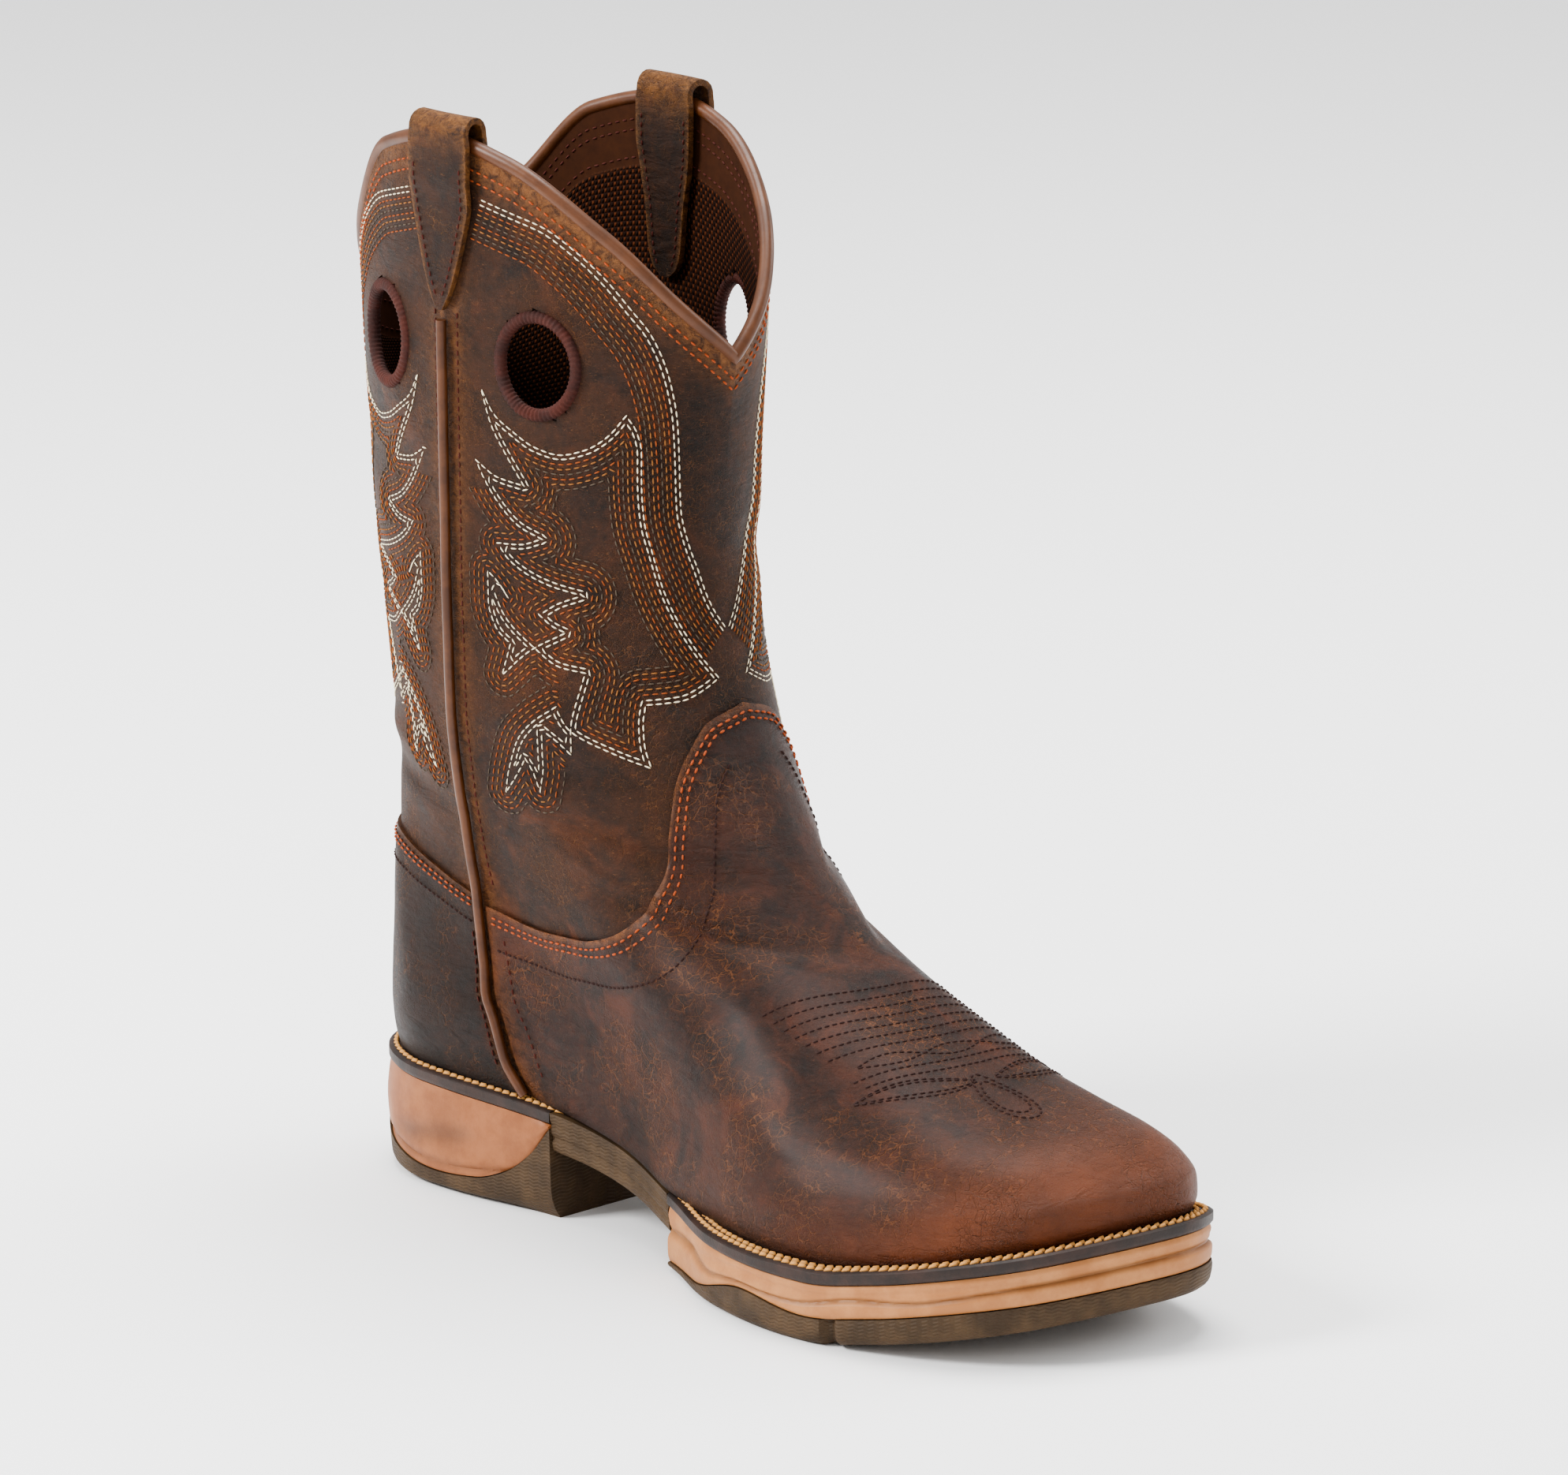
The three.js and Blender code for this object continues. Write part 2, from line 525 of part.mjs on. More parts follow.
// Point of the upper's outer face. turn: 0 at the back, 1 at the front, 2 at the back again, by the
// outer side first; ring: 0 at the welt to LAST_RING at the collar.
function upperPoint(turn, ring) {
  const lap = ((turn % 2) + 2) % 2;
  const side = lap <= 1 ? 'lateral' : 'medial';
  const share = lap <= 1 ? lap : 2 - lap;
  const sign = side === 'lateral' ? -1 : 1;
  const at = (column) => ringCurves[column](ring);
  const foot = onHalf(footHalves[side], share);
  const along = (foot.x - footStart) / (footEnd - footStart);
  const blend = clamp((along - 0.25) / 0.35, 0, 1);
  const footWidth = mix(at('heel'), at('ball'), blend * blend * (3 - 2 * blend));
  const angle = Math.PI * share;
  const oval = at('oval');
  const lengthwise = mix(along, (1 - Math.cos(angle)) / 2, oval);
  const ovalY = sign * at('girth') * SHAFT_WIDTH / 2 * Math.sin(angle);
  const x = SOLE_LENGTH * mix(at('back'), at('front'), lengthwise);
  const y = mix(foot.y * footWidth, ovalY, oval) + SHAFT_LEAN * at('lean') * mix(1, oval, 0.5);
  const chord = mix(weltTop(0), weltTop(SOLE_LENGTH), lengthwise);
  const base = mix(chord, weltTop(foot.x), at('keep'));
  const raised = LEG_HEIGHT * mix(at('rear'), at('fore'), lengthwise);
  const collar = at('rise') * COLLAR_RISE * collarCurve(share);
  return new THREE.Vector3(x, y, base + raised + collar + SEAT_GAP);
}
function upperNormal(turn, ring) {
  const step = 0.004;
  const low = Math.max(0, ring - 0.05);
  const high = Math.min(LAST_RING, ring + 0.05);
  const across = upperPoint(turn + step, ring).sub(upperPoint(turn - step, ring));
  const up = upperPoint(turn, high).sub(upperPoint(turn, low));
  return across.cross(up).normalize();
}
// Point at a distance out of the outer face; the lowest ring stays level on the welt.
function upperOffset(turn, ring, out) {
  const point = upperPoint(turn, ring).addScaledVector(upperNormal(turn, ring), out);
  if (ring === 0) point.z = weltTop(point.x) + SEAT_GAP;
  return point;
}
const turnAt = (sign, share) => (sign < 0 ? share : 2 - share);

// The ring that passes through a given height at a given turn.
function ringAtHeight(turn, height) {
  let low = 0;
  let high = LAST_RING;
  for (let i = 0; i < 26; i += 1) {
    const middle = (low + high) / 2;
    if (upperPoint(turn, middle).z < height) low = middle;
    else high = middle;
  }
  return (low + high) / 2;
}
// Share from back to front where the side seam lies at a given height.
const seamCurve = tableCurve(SEAM, 'up', 'at');
function seamShare(sign, height) {
  const aim = seamCurve(height / LEG_HEIGHT) * SOLE_LENGTH;
  let low = 0.05;
  let high = 0.9;
  for (let i = 0; i < 22; i += 1) {
    const middle = (low + high) / 2;
    const turn = turnAt(sign, middle);
    if (upperPoint(turn, ringAtHeight(turn, height)).x < aim) low = middle;
    else high = middle;
  }
  return (low + high) / 2;
}

// Turns of the grid's columns and the rings of its rows.
const columns = [
  ...Array.from({ length: STATIONS }, (_, i) => stationShare(i)),
  ...Array.from({ length: STATIONS - 2 }, (_, i) => 2 - stationShare(STATIONS - 2 - i)),
];
const rowCount = Math.round(LAST_RING * ROWS_PER_RING);
const rows = Array.from({ length: rowCount + 1 }, (_, i) => LAST_RING * i / rowCount);

// Wall of the upper between two distances out of its outer face, open at the top and underneath.
function wallShell(inside, outside) {
  const size = columns.length;
  const face = (out) => rows.flatMap((ring) => columns.map((turn) => upperOffset(turn, ring, out)));
  const points = [...face(outside), ...face(inside)];
  const shift = rows.length * size;
  const triangles = [];
  for (let i = 0; i < size; i += 1) {
    const j = (i + 1) % size;
    for (let row = 0; row < rows.length - 1; row += 1) {
      const a = row * size + i;
      const b = row * size + j;
      triangles.push([a, b, b + size], [a, b + size, a + size]);
      triangles.push([shift + a, shift + b + size, shift + b], [shift + a, shift + a + size, shift + b + size]);
    }
    const top = (rows.length - 1) * size;
    triangles.push([i, shift + i, shift + j], [i, shift + j, j]);
    triangles.push([top + i, top + j, shift + top + j], [top + i, shift + top + j, shift + top + i]);
  }
  return solid(facets(points, triangles));
}

// A block that covers one panel of the upper, as a cutter. It has a column for each share in
// along, from sideways(-1 to 1), and reaches from under the welt to the edge height.
function panelCutter(turnOf, edgeHeight, steps) {
  const cols = Array.from({ length: steps + 1 }, (_, i) => mix(-1, 1, i / steps));
  const levels = 10;
  const inner = -1;
  const outer = OVERLAY + 3;
  const sections = cols.map((place) => {
    const start = upperPoint(turnOf(place, weltTop(0)), 0).z;
    const heights = Array.from({ length: levels + 1 }, (_, i) => mix(start, edgeHeight(place), i / levels));
    const side = (out) => heights.map((height, i) => {
      const turn = turnOf(place, height);
      const point = upperOffset(turn, i === 0 ? 0 : ringAtHeight(turn, height), out);
      if (i === 0) point.z -= WELT_THICKNESS;
      return point;
    });
    return [...side(inner), ...side(outer).reverse()];
  });
  const size = sections[0].length;
  const points = sections.flat();
  const triangles = [];
  for (let row = 0; row < sections.length - 1; row += 1) {
    for (let i = 0; i < size; i += 1) {
      const j = (i + 1) % size;
      triangles.push([row * size + i, row * size + j, (row + 1) * size + j]);
      triangles.push([row * size + i, (row + 1) * size + j, (row + 1) * size + i]);
    }
  }
  const last = (sections.length - 1) * size;
  for (let i = 0; i < levels; i += 1) {
    const j = size - 1 - i;
    triangles.push([i, j, i + 1], [i + 1, j, j - 1]);
    triangles.push([last + i, last + i + 1, last + j], [last + i + 1, last + j - 1, last + j]);
  }
  return solid(facets(points, triangles));
}

const seamTable = SIDES.map(({ sign }) => {
  const heights = Array.from({ length: 24 }, (_, i) => mix(weltTop(SOLE_LENGTH * 0.28), HOLE_LEVEL * 1.3, i / 23));
  const samples = heights.map((height) => ({ height, share: seamShare(sign, height) }));
  return tableCurve(samples, 'height', 'share');
});
const seamTurn = (sign, height) => seamTable[sign < 0 ? 0 : 1](height);
const vampCurve = tableCurve(VAMP_EDGE, 'along', 'up');
const counterCurve = tableCurve(COUNTER_EDGE, 'along', 'up');
const marginShare = SEAM_MARGIN / SOLE_LENGTH;

// Vamp overlay: from seam to seam around the toe, with its tongue at the front.
function buildVamp() {
  const turnOf = (place, height) => {
    const sign = place < 0 ? -1 : 1;
    const start = seamTurn(sign, height) + marginShare;
    return turnAt(sign, mix(start, 1, 1 - Math.abs(place)));
  };
  const edge = (place) => VAMP_PEAK * vampCurve(1 - Math.abs(place));
  return wallShell(GAP, GAP + OVERLAY).intersect(panelCutter(turnOf, edge, 32));
}
// Counter overlay: from seam to seam around the heel.
function buildCounter() {
  const turnOf = (place, height) => {
    const sign = place < 0 ? 1 : -1;
    const end = seamTurn(sign, height) - marginShare;
    return turnAt(sign, end * Math.abs(place));
  };
  const edge = (place) => COUNTER_PEAK * counterCurve(Math.abs(place));
  return wallShell(GAP, GAP + OVERLAY).intersect(panelCutter(turnOf, edge, 12));
}

// Walks a and b millimetres over the surface from a centre and gives the turn and ring there.
function walk(turn, ring, a, b) {
  const centre = upperPoint(turn, ring);
  const normal = upperNormal(turn, ring);
  const sideways = new THREE.Vector3(0, 0, 1).cross(normal).normalize();
  const upwards = normal.clone().cross(sideways);
  const aim = centre.clone().addScaledVector(sideways, a).addScaledVector(upwards, b);
  let here = { turn, ring };
  for (let i = 0; i < 12; i += 1) {
    const point = upperPoint(here.turn, here.ring);
    const byTurn = upperPoint(here.turn + 0.01, here.ring).sub(point).divideScalar(0.01);
    const byRing = upperPoint(here.turn, here.ring - 0.05).sub(point).divideScalar(-0.05);
    const miss = aim.clone().sub(point);
    const aa = byTurn.dot(byTurn);
    const ab = byTurn.dot(byRing);
    const bb = byRing.dot(byRing);
    const det = aa * bb - ab * ab;
    const missTurn = miss.dot(byTurn);
    const missRing = miss.dot(byRing);
    here = {
      turn: here.turn + (bb * missTurn - ab * missRing) / det,
      ring: clamp(here.ring + (aa * missRing - ab * missTurn) / det, 0, LAST_RING),
    };
  }
  return here;
}

// Corners of a regular polygon around the origin.
const polygon = (sides, radius) => Array.from({ length: sides }, (_, i) => {
  const angle = 2 * Math.PI * (i + 0.5) / sides;
  return new THREE.Vector2(radius * Math.cos(angle), radius * Math.sin(angle));
});

// Points around a pull hole at a given growth of its radii.
const HOLE_STEPS = 16;
function holeLoop(turn, grow) {
  const ring = ringAtHeight(turn, HOLE_LEVEL);
  return Array.from({ length: HOLE_STEPS }, (_, i) => {
    const angle = 2 * Math.PI * i / HOLE_STEPS;
    const a = (HOLE_WIDTH / 2 + grow) * Math.cos(angle);
    const b = (HOLE_HEIGHT / 2 + grow) * Math.sin(angle);
    return walk(turn, ring, a, b);
  });
}
function holeCutter(turn) {
  const reach = 4 * WALL;
  const loop = holeLoop(turn, RING_BREADTH + GAP);
  return solid(loft([-reach, reach].map((out) => loop.map((p) => upperOffset(p.turn, p.ring, out))), false));
}
function buildHoleRing(turn) {
  const inner = holeLoop(turn, 0);
  const middle = holeLoop(turn, RING_BREADTH / 2);
  const outer = holeLoop(turn, RING_BREADTH);
  const deep = -WALL - RING_PROUD;
  const sections = inner.map((_, i) => [
    upperOffset(middle[i].turn, middle[i].ring, RING_PROUD),
    upperOffset(outer[i].turn, outer[i].ring, 0),
    upperOffset(outer[i].turn, outer[i].ring, -WALL),
    upperOffset(middle[i].turn, middle[i].ring, deep),
    upperOffset(inner[i].turn, inner[i].ring, -WALL * 3 / 4),
    upperOffset(inner[i].turn, inner[i].ring, -WALL / 4),
  ]);
  return loft(sections, true);
}

// Rolled binding on the edge of the collar.
function buildBinding() {
  const radius = BINDING_DIAMETER / 2;
  const sides = 8;
  const up = new THREE.Vector3(0, 0, 1);
  const sections = columns.map((turn) => {
    const edge = upperOffset(turn, LAST_RING, -WALL / 2);
    const normal = upperNormal(turn, LAST_RING).setZ(0).normalize();
    const centre = edge.clone().addScaledVector(up, radius + GAP);
    return polygon(sides, radius).reverse().map((corner) => (
      centre.clone().addScaledVector(normal, corner.x).addScaledVector(up, corner.y)
    ));
  });
  return loft(sections, true);
}

// Piping cord down the side seam, from the tip of the pull strap to the welt.
function buildPiping(sign) {
  const radius = PIPING_DIAMETER / 2;
  const out = radius + 2.5 * GAP;
  const top = collarTopAt(sign) - STRAP_DROP_OUTSIDE - PIPING_DIAMETER;
  const bottom = weltTop(SOLE_LENGTH * 0.285) + radius + 2 * GAP;
  const steps = 14;
  const points = Array.from({ length: steps + 1 }, (_, i) => {
    const height = mix(bottom, top, i / steps);
    const turn = turnAt(sign, seamTurn(sign, height));
    return upperOffset(turn, ringAtHeight(turn, height), out);
  });
  const shape = new THREE.Shape(polygon(8, radius));
  return new THREE.ExtrudeGeometry(shape, {
    steps,
    bevelEnabled: false,
    extrudePath: new THREE.CatmullRomCurve3(points, false, 'centripetal'),
  });
}

// Pull strap folded over the collar at the seam, pointed outside and rounded inside.
const STRAP_SHARE = 0.5;
const collarTopAt = (sign) => upperPoint(turnAt(sign, STRAP_SHARE), LAST_RING).z;
function buildStrap(sign) {
  const away = BINDING_DIAMETER / 2 - WALL / 2 + GAP + 0.4;
  const rest = 1.6 * GAP;
  const above = BINDING_DIAMETER * 0.9;
  const radius = WALL / 2 + away;
  const arc = Array.from({ length: 7 }, (_, i) => Math.PI * i / 6);
  const path = [
    { out: rest, up: -STRAP_DROP_OUTSIDE, half: 0.12 },
    { out: rest, up: -STRAP_DROP_OUTSIDE * 0.8, half: 0.45 },
    { out: rest, up: -STRAP_DROP_OUTSIDE * 0.5, half: 0.86 },
    { out: away, up: -STRAP_DROP_OUTSIDE * 0.22, half: 1 },
    ...arc.map((a) => ({ out: radius * Math.cos(a) - WALL / 2, up: above + radius * Math.sin(a), half: 0.94 })),
    { out: -WALL - away, up: -STRAP_DROP_INSIDE * 0.22, half: 1 },
    { out: -WALL - rest * 2.4, up: -STRAP_DROP_INSIDE * 0.5, half: 0.8 },
    { out: -WALL - rest * 2.4, up: -STRAP_DROP_INSIDE * 0.85, half: 0.55 },
    { out: -WALL - rest * 2.4, up: -STRAP_DROP_INSIDE, half: 0.25 },
  ];
  const place = (across, out, up) => {
    const edgeTurn = turnAt(sign, STRAP_SHARE);
    const here = walk(edgeTurn, LAST_RING - 0.5, sign < 0 ? across : -across, 0).turn;
    const edge = upperPoint(here, LAST_RING);
    const level = upperPoint(edgeTurn, LAST_RING).z + Math.max(0, up) - edge.z;
    if (up >= 0) return edge.addScaledVector(upperNormal(here, LAST_RING).setZ(0).normalize(), out).add(new THREE.Vector3(0, 0, level));
    const ring = ringAtHeight(here, upperPoint(edgeTurn, LAST_RING).z + up);
    return upperOffset(here, ring, out);
  };
  const sections = path.map((step, i) => {
    const before = path[Math.max(0, i - 1)];
    const after = path[Math.min(path.length - 1, i + 1)];
    const length = Math.hypot(after.out - before.out, after.up - before.up);
    const outwards = { out: (after.up - before.up) / length, up: -(after.out - before.out) / length };
    const half = STRAP_WIDTH / 2 * step.half;
    const near = [-half, 0, half].map((across) => place(across, step.out, step.up));
    const far = [half, 0, -half].map((across) => (
      place(across, step.out + outwards.out * STRAP_THICKNESS, step.up + outwards.up * STRAP_THICKNESS)
    ));
    return [...near, ...far];
  });
  return loft(sign < 0 ? sections.map((section) => [...section].reverse()) : sections, false);
}

// Footbed inside the upper, on the welt plates and the shank.
function buildInsole() {
  const clear = WALL + 3 * GAP;
  const reach = (x) => reachTable(x / SOLE_LENGTH) + clear;
  return plate([
    { inset: reach, height: (x) => weltTop(x) + SEAT_GAP },
    { inset: reach, height: (x) => weltTop(x) + SEAT_GAP + INSOLE_THICKNESS },
  ]);
}

// The boot
const boot = new THREE.Group();
function add(name, geometry, material) {
  const mesh = new THREE.Mesh(geometry, material);
  mesh.name = name;
  boot.add(mesh);
}

const holeTurns = SIDES.flatMap(({ name, sign }) => (
  HOLES.map((hole) => ({ name: `${name}_${hole.name}`, turn: turnAt(sign, hole.around) }))
));
const openWall = holeTurns.reduce((body, hole) => body.subtract(holeCutter(hole.turn)), wallShell(-WALL, 0));

add('outsole_forefoot', fromSolid(buildForefootOutsole()), OUTSOLE);
add('outsole_heel', fromSolid(buildHeelBase()), OUTSOLE);
add('midsole_forefoot', fromSolid(buildForefootMidsole()), MIDSOLE);
add('midsole_heel', fromSolid(buildHeelMidsole()), MIDSOLE);
add('welt_forefoot', fromSolid(buildWelt(FOREFOOT_START, SOLE_LENGTH + GAP)), WELT);
add('welt_heel', fromSolid(buildWelt(-GAP, HEEL_LENGTH)), WELT);
add('insole', fromSolid(buildInsole()), FOOTBED);
add('upper', fromSolid(openWall), LEATHER);
add('vamp', fromSolid(buildVamp()), VAMP_LEATHER);
add('counter', fromSolid(buildCounter()), COUNTER_LEATHER);
add('collar_binding', buildBinding(), BINDING);
holeTurns.forEach((hole) => add(`pull_hole_ring_${hole.name}`, buildHoleRing(hole.turn), THREAD_RING));
SIDES.forEach(({ name, sign }) => {
  add(`piping_${name}`, buildPiping(sign), BINDING);
  add(`pull_strap_${name}`, buildStrap(sign), LEATHER);
});

const bounds = new THREE.Box3().setFromObject(boot);
const centre = bounds.getCenter(new THREE.Vector3());
boot.position.set(-centre.x, -centre.y, -bounds.min.z);

export default boot;
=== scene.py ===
from dataclasses import dataclass, field
from enum import Enum
import logging
from typing import Callable, Sequence

import bpy
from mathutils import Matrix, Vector
import numpy as np
from numpy import ndarray as Array


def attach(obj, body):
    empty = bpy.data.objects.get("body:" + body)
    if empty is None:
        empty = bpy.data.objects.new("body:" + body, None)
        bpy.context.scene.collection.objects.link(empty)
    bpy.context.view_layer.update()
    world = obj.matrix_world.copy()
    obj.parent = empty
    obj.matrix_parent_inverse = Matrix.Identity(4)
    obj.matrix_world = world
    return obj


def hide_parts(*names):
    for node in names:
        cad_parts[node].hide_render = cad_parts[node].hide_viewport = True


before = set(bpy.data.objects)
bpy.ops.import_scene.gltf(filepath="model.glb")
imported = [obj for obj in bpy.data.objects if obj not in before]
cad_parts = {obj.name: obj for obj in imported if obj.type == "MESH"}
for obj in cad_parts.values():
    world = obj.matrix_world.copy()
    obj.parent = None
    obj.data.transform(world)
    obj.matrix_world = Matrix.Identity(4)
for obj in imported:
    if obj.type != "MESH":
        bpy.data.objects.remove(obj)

Inset = Callable[[Array, int], Array]
Height = Callable[[Array], Array]
Levels = Sequence[tuple[Inset, Height]]
Profile = Sequence[tuple[float, float]]

log = logging.getLogger("boot")
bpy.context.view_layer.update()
MM = 0.001
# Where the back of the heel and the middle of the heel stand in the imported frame, in millimetres.
HEEL_BACK = np.array([-142.03, 0.16, 0.0])
# The vertex values that the leathers and cords read.
FIELDS = ("rub", "shade", "burnish", "edge")
# Place of the notch in the forefoot's edge, as a share of the sole's length.
NOTCH = 0.77
# Distance between a piece's face and the stitches on it.
SEWN = 0.1


class Side(Enum):
    """The two sides of the boot, as signs of Y."""

    LATERAL = -1
    MEDIAL = 1


class Thread(Enum):
    """Colours of the sewing threads."""

    CREAM = "efe2c4"
    RUST = "8f4a22"
    OCHRE = "8c5c30"
    GREY = "54483c"
    BRICK = "a24c26"
    MAROON = "4a1c12"
    DARK = "2a110b"
    TAN = "c08d52"


def linear(code: str) -> tuple[float, float, float, float]:
    """Turn a hex colour into linear red, green, blue and alpha."""
    parts = [int(code[i:i + 2], 16) / 255 for i in (0, 2, 4)]
    return tuple([c / 12.92 if c < 0.04045 else ((c + 0.055) / 1.055) ** 2.4 for c in parts] + [1.0])


def smooth(value: Array, low: float, high: float) -> Array:
    """Soft step from 0 at low to 1 at high."""
    s = np.clip((value - low) / (high - low), 0, 1)
    return s * s * (3 - 2 * s)


@dataclass(frozen=True)
class BootSizes:
    """Sizes that the looks share with the part's source, in millimetres."""

    sole_length: float = 308.0
    ball_width: float = 115.0
    heel_width: float = 76.0
    heel_length: float = 92.0
    forefoot_start: float = 152.0
    shank_thickness: float = 15.0
    welt_thickness: float = 4.0
    welt_reach: float = 8.5
    heel_reach: float = 5.5
    waist_reach: float = 2.0
    leg_height: float = 290.0
    collar_rise: float = 60.0
    shaft_width: float = 94.0
    shaft_lean: float = 8.0
    wall: float = 2.4
    overlay: float = 1.4
    gap: float = 0.3
    seat_gap: float = 0.55
    vamp_peak: float = 162.0
    counter_peak: float = 108.0
    binding: float = 4.4
    piping: float = 3.2
    strap_width: float = 25.0
    strap_drop: float = 50.0
    hole_width: float = 22.0
    hole_height: float = 26.0
    hole_level: float = 263.0
    seam_margin: float = 3.1


SIZES = BootSizes()

# Half outlines of the sole: place along it, distance out, and which width the distance is a share of.
LATERAL = (
    (0.000, 0.000, "heel"), (0.013, 0.230, "heel"), (0.044, 0.375, "heel"), (0.097, 0.474, "heel"),
    (0.162, 0.487, "heel"), (0.286, 0.441, "heel"), (0.406, 0.278, "ball"), (0.506, 0.365, "ball"),
    (0.601, 0.478, "ball"), (0.692, 0.517, "ball"), (0.779, 0.487, "ball"), (0.851, 0.422, "ball"),
    (0.906, 0.335, "ball"), (0.943, 0.226, "ball"), (0.966, 0.087, "ball"), (0.982, -0.061, "ball"),
    (0.990, -0.191, "ball"),
)
MEDIAL = (
    (0.000, 0.000, "heel"), (0.013, 0.230, "heel"), (0.044, 0.375, "heel"), (0.097, 0.474, "heel"),
    (0.162, 0.480, "heel"), (0.286, 0.434, "heel"), (0.399, 0.257, "ball"), (0.497, 0.322, "ball"),
    (0.601, 0.430, "ball"), (0.688, 0.483, "ball"), (0.779, 0.483, "ball"), (0.870, 0.452, "ball"),
    (0.932, 0.409, "ball"), (0.966, 0.357, "ball"), (0.985, 0.274, "ball"), (0.990, 0.191, "ball"),
)
# Rings of the upper: back, rear, front, fore, heel, ball, oval, girth, lean, keep, rise.
RINGS = (
    (0.018, 0.000, 0.962, 0.000, 1.00, 1.00, 0.00, 0.84, 0.00, 1.00, 0.00),
    (0.014, 0.017, 0.968, 0.018, 1.03, 1.03, 0.00, 0.84, 0.00, 1.00, 0.00),
    (0.012, 0.036, 0.967, 0.037, 1.06, 1.04, 0.02, 0.85, 0.02, 0.95, 0.00),
    (0.011, 0.055, 0.953, 0.056, 1.08, 1.01, 0.05, 0.86, 0.05, 0.85, 0.00),
    (0.011, 0.076, 0.922, 0.072, 1.09, 0.96, 0.09, 0.87, 0.10, 0.70, 0.00),
    (0.011, 0.097, 0.864, 0.086, 1.09, 0.90, 0.14, 0.88, 0.17, 0.50, 0.00),
    (0.011, 0.120, 0.802, 0.102, 1.09, 0.85, 0.20, 0.89, 0.25, 0.35, 0.00),
    (0.010, 0.145, 0.734, 0.128, 1.09, 0.81, 0.28, 0.90, 0.34, 0.20, 0.00),
    (0.008, 0.172, 0.666, 0.155, 1.09, 0.78, 0.37, 0.92, 0.43, 0.10, 0.00),
    (0.006, 0.200, 0.604, 0.183, 1.09, 0.76, 0.47, 0.93, 0.52, 0.00, 0.00),
    (0.003, 0.232, 0.549, 0.222, 1.09, 0.75, 0.58, 0.94, 0.60, 0.00, 0.00),
    (0.000, 0.270, 0.506, 0.274, 1.09, 0.75, 0.69, 0.95, 0.66, 0.00, 0.00),
    (-0.004, 0.315, 0.474, 0.328, 1.09, 0.75, 0.80, 0.96, 0.71, 0.00, 0.00),
    (-0.012, 0.372, 0.445, 0.395, 1.09, 0.75, 0.90, 0.97, 0.76, 0.00, 0.00),
    (-0.022, 0.445, 0.422, 0.467, 1.09, 0.75, 0.97, 0.97, 0.81, 0.00, 0.00),
    (-0.036, 0.540, 0.411, 0.559, 1.09, 0.75, 1.00, 0.98, 0.87, 0.00, 0.00),
    (-0.049, 0.635, 0.412, 0.645, 1.09, 0.75, 1.00, 0.99, 0.92, 0.00, 0.20),
    (-0.058, 0.720, 0.418, 0.721, 1.09, 0.75, 1.00, 1.00, 0.97, 0.00, 0.58),
    (-0.065, 0.790, 0.425, 0.779, 1.09, 0.75, 1.00, 1.00, 1.00, 0.00, 1.00),
)
RING_COLUMNS = ("back", "rear", "front", "fore", "heel", "ball", "oval", "girth", "lean", "keep", "rise")
LAST_RING = float(len(RINGS) - 1)
COLLAR = ((0.0, 0.0), (0.10, 0.08), (0.25, 0.50), (0.36, 0.88), (0.50, 1.0), (0.60, 0.93), (0.75, 0.62),
          (0.88, 0.27), (1.0, 0.0))
SEAM = ((0.125, 0.262), (0.150, 0.243), (0.235, 0.208), (0.310, 0.197), (0.400, 0.191), (0.700, 0.184),
        (1.100, 0.180))
VAMP_EDGE = ((0.0, 0.571), (0.13, 0.560), (0.28, 0.568), (0.40, 0.592), (0.51, 0.638), (0.60, 0.710),
             (0.65, 0.800), (0.69, 0.870), (0.75, 0.925), (0.84, 0.975), (1.0, 1.0))
COUNTER_EDGE = ((0.0, 1.0), (0.35, 0.98), (0.70, 0.93), (1.0, 0.88))
# Underside of the welt, underside of the forefoot sole and top of its outsole, along the sole.
SEAT = ((0.0, 34.0), (0.13, 32.98), (0.30, 30.26), (0.49, 20.35), (0.56, 18.87), (0.66, 18.5), (0.74, 18.5),
        (0.81, 21.5), (0.91, 27.8), (1.0, 33.8))
GROUND = ((0.0, 0.0), (0.30, 0.0), (0.49, 0.8), (0.56, 0.0), (0.74, 0.0), (0.81, 3.0), (0.91, 9.0),
          (1.0, 15.0))
SPLIT = ((0.0, 0.0), (0.30, 0.8), (0.49, 2.8), (0.56, 3.6), (0.66, 10.4), (0.74, 8.0), (0.81, 11.0),
         (0.91, 17.0), (1.0, 22.2))
HEEL_CUP = ((0.0, 0.55), (0.10, 0.40), (0.26, 0.245), (0.48, 0.175), (0.66, 0.22), (0.80, 0.365),
            (0.91, 0.615), (1.0, 0.95))


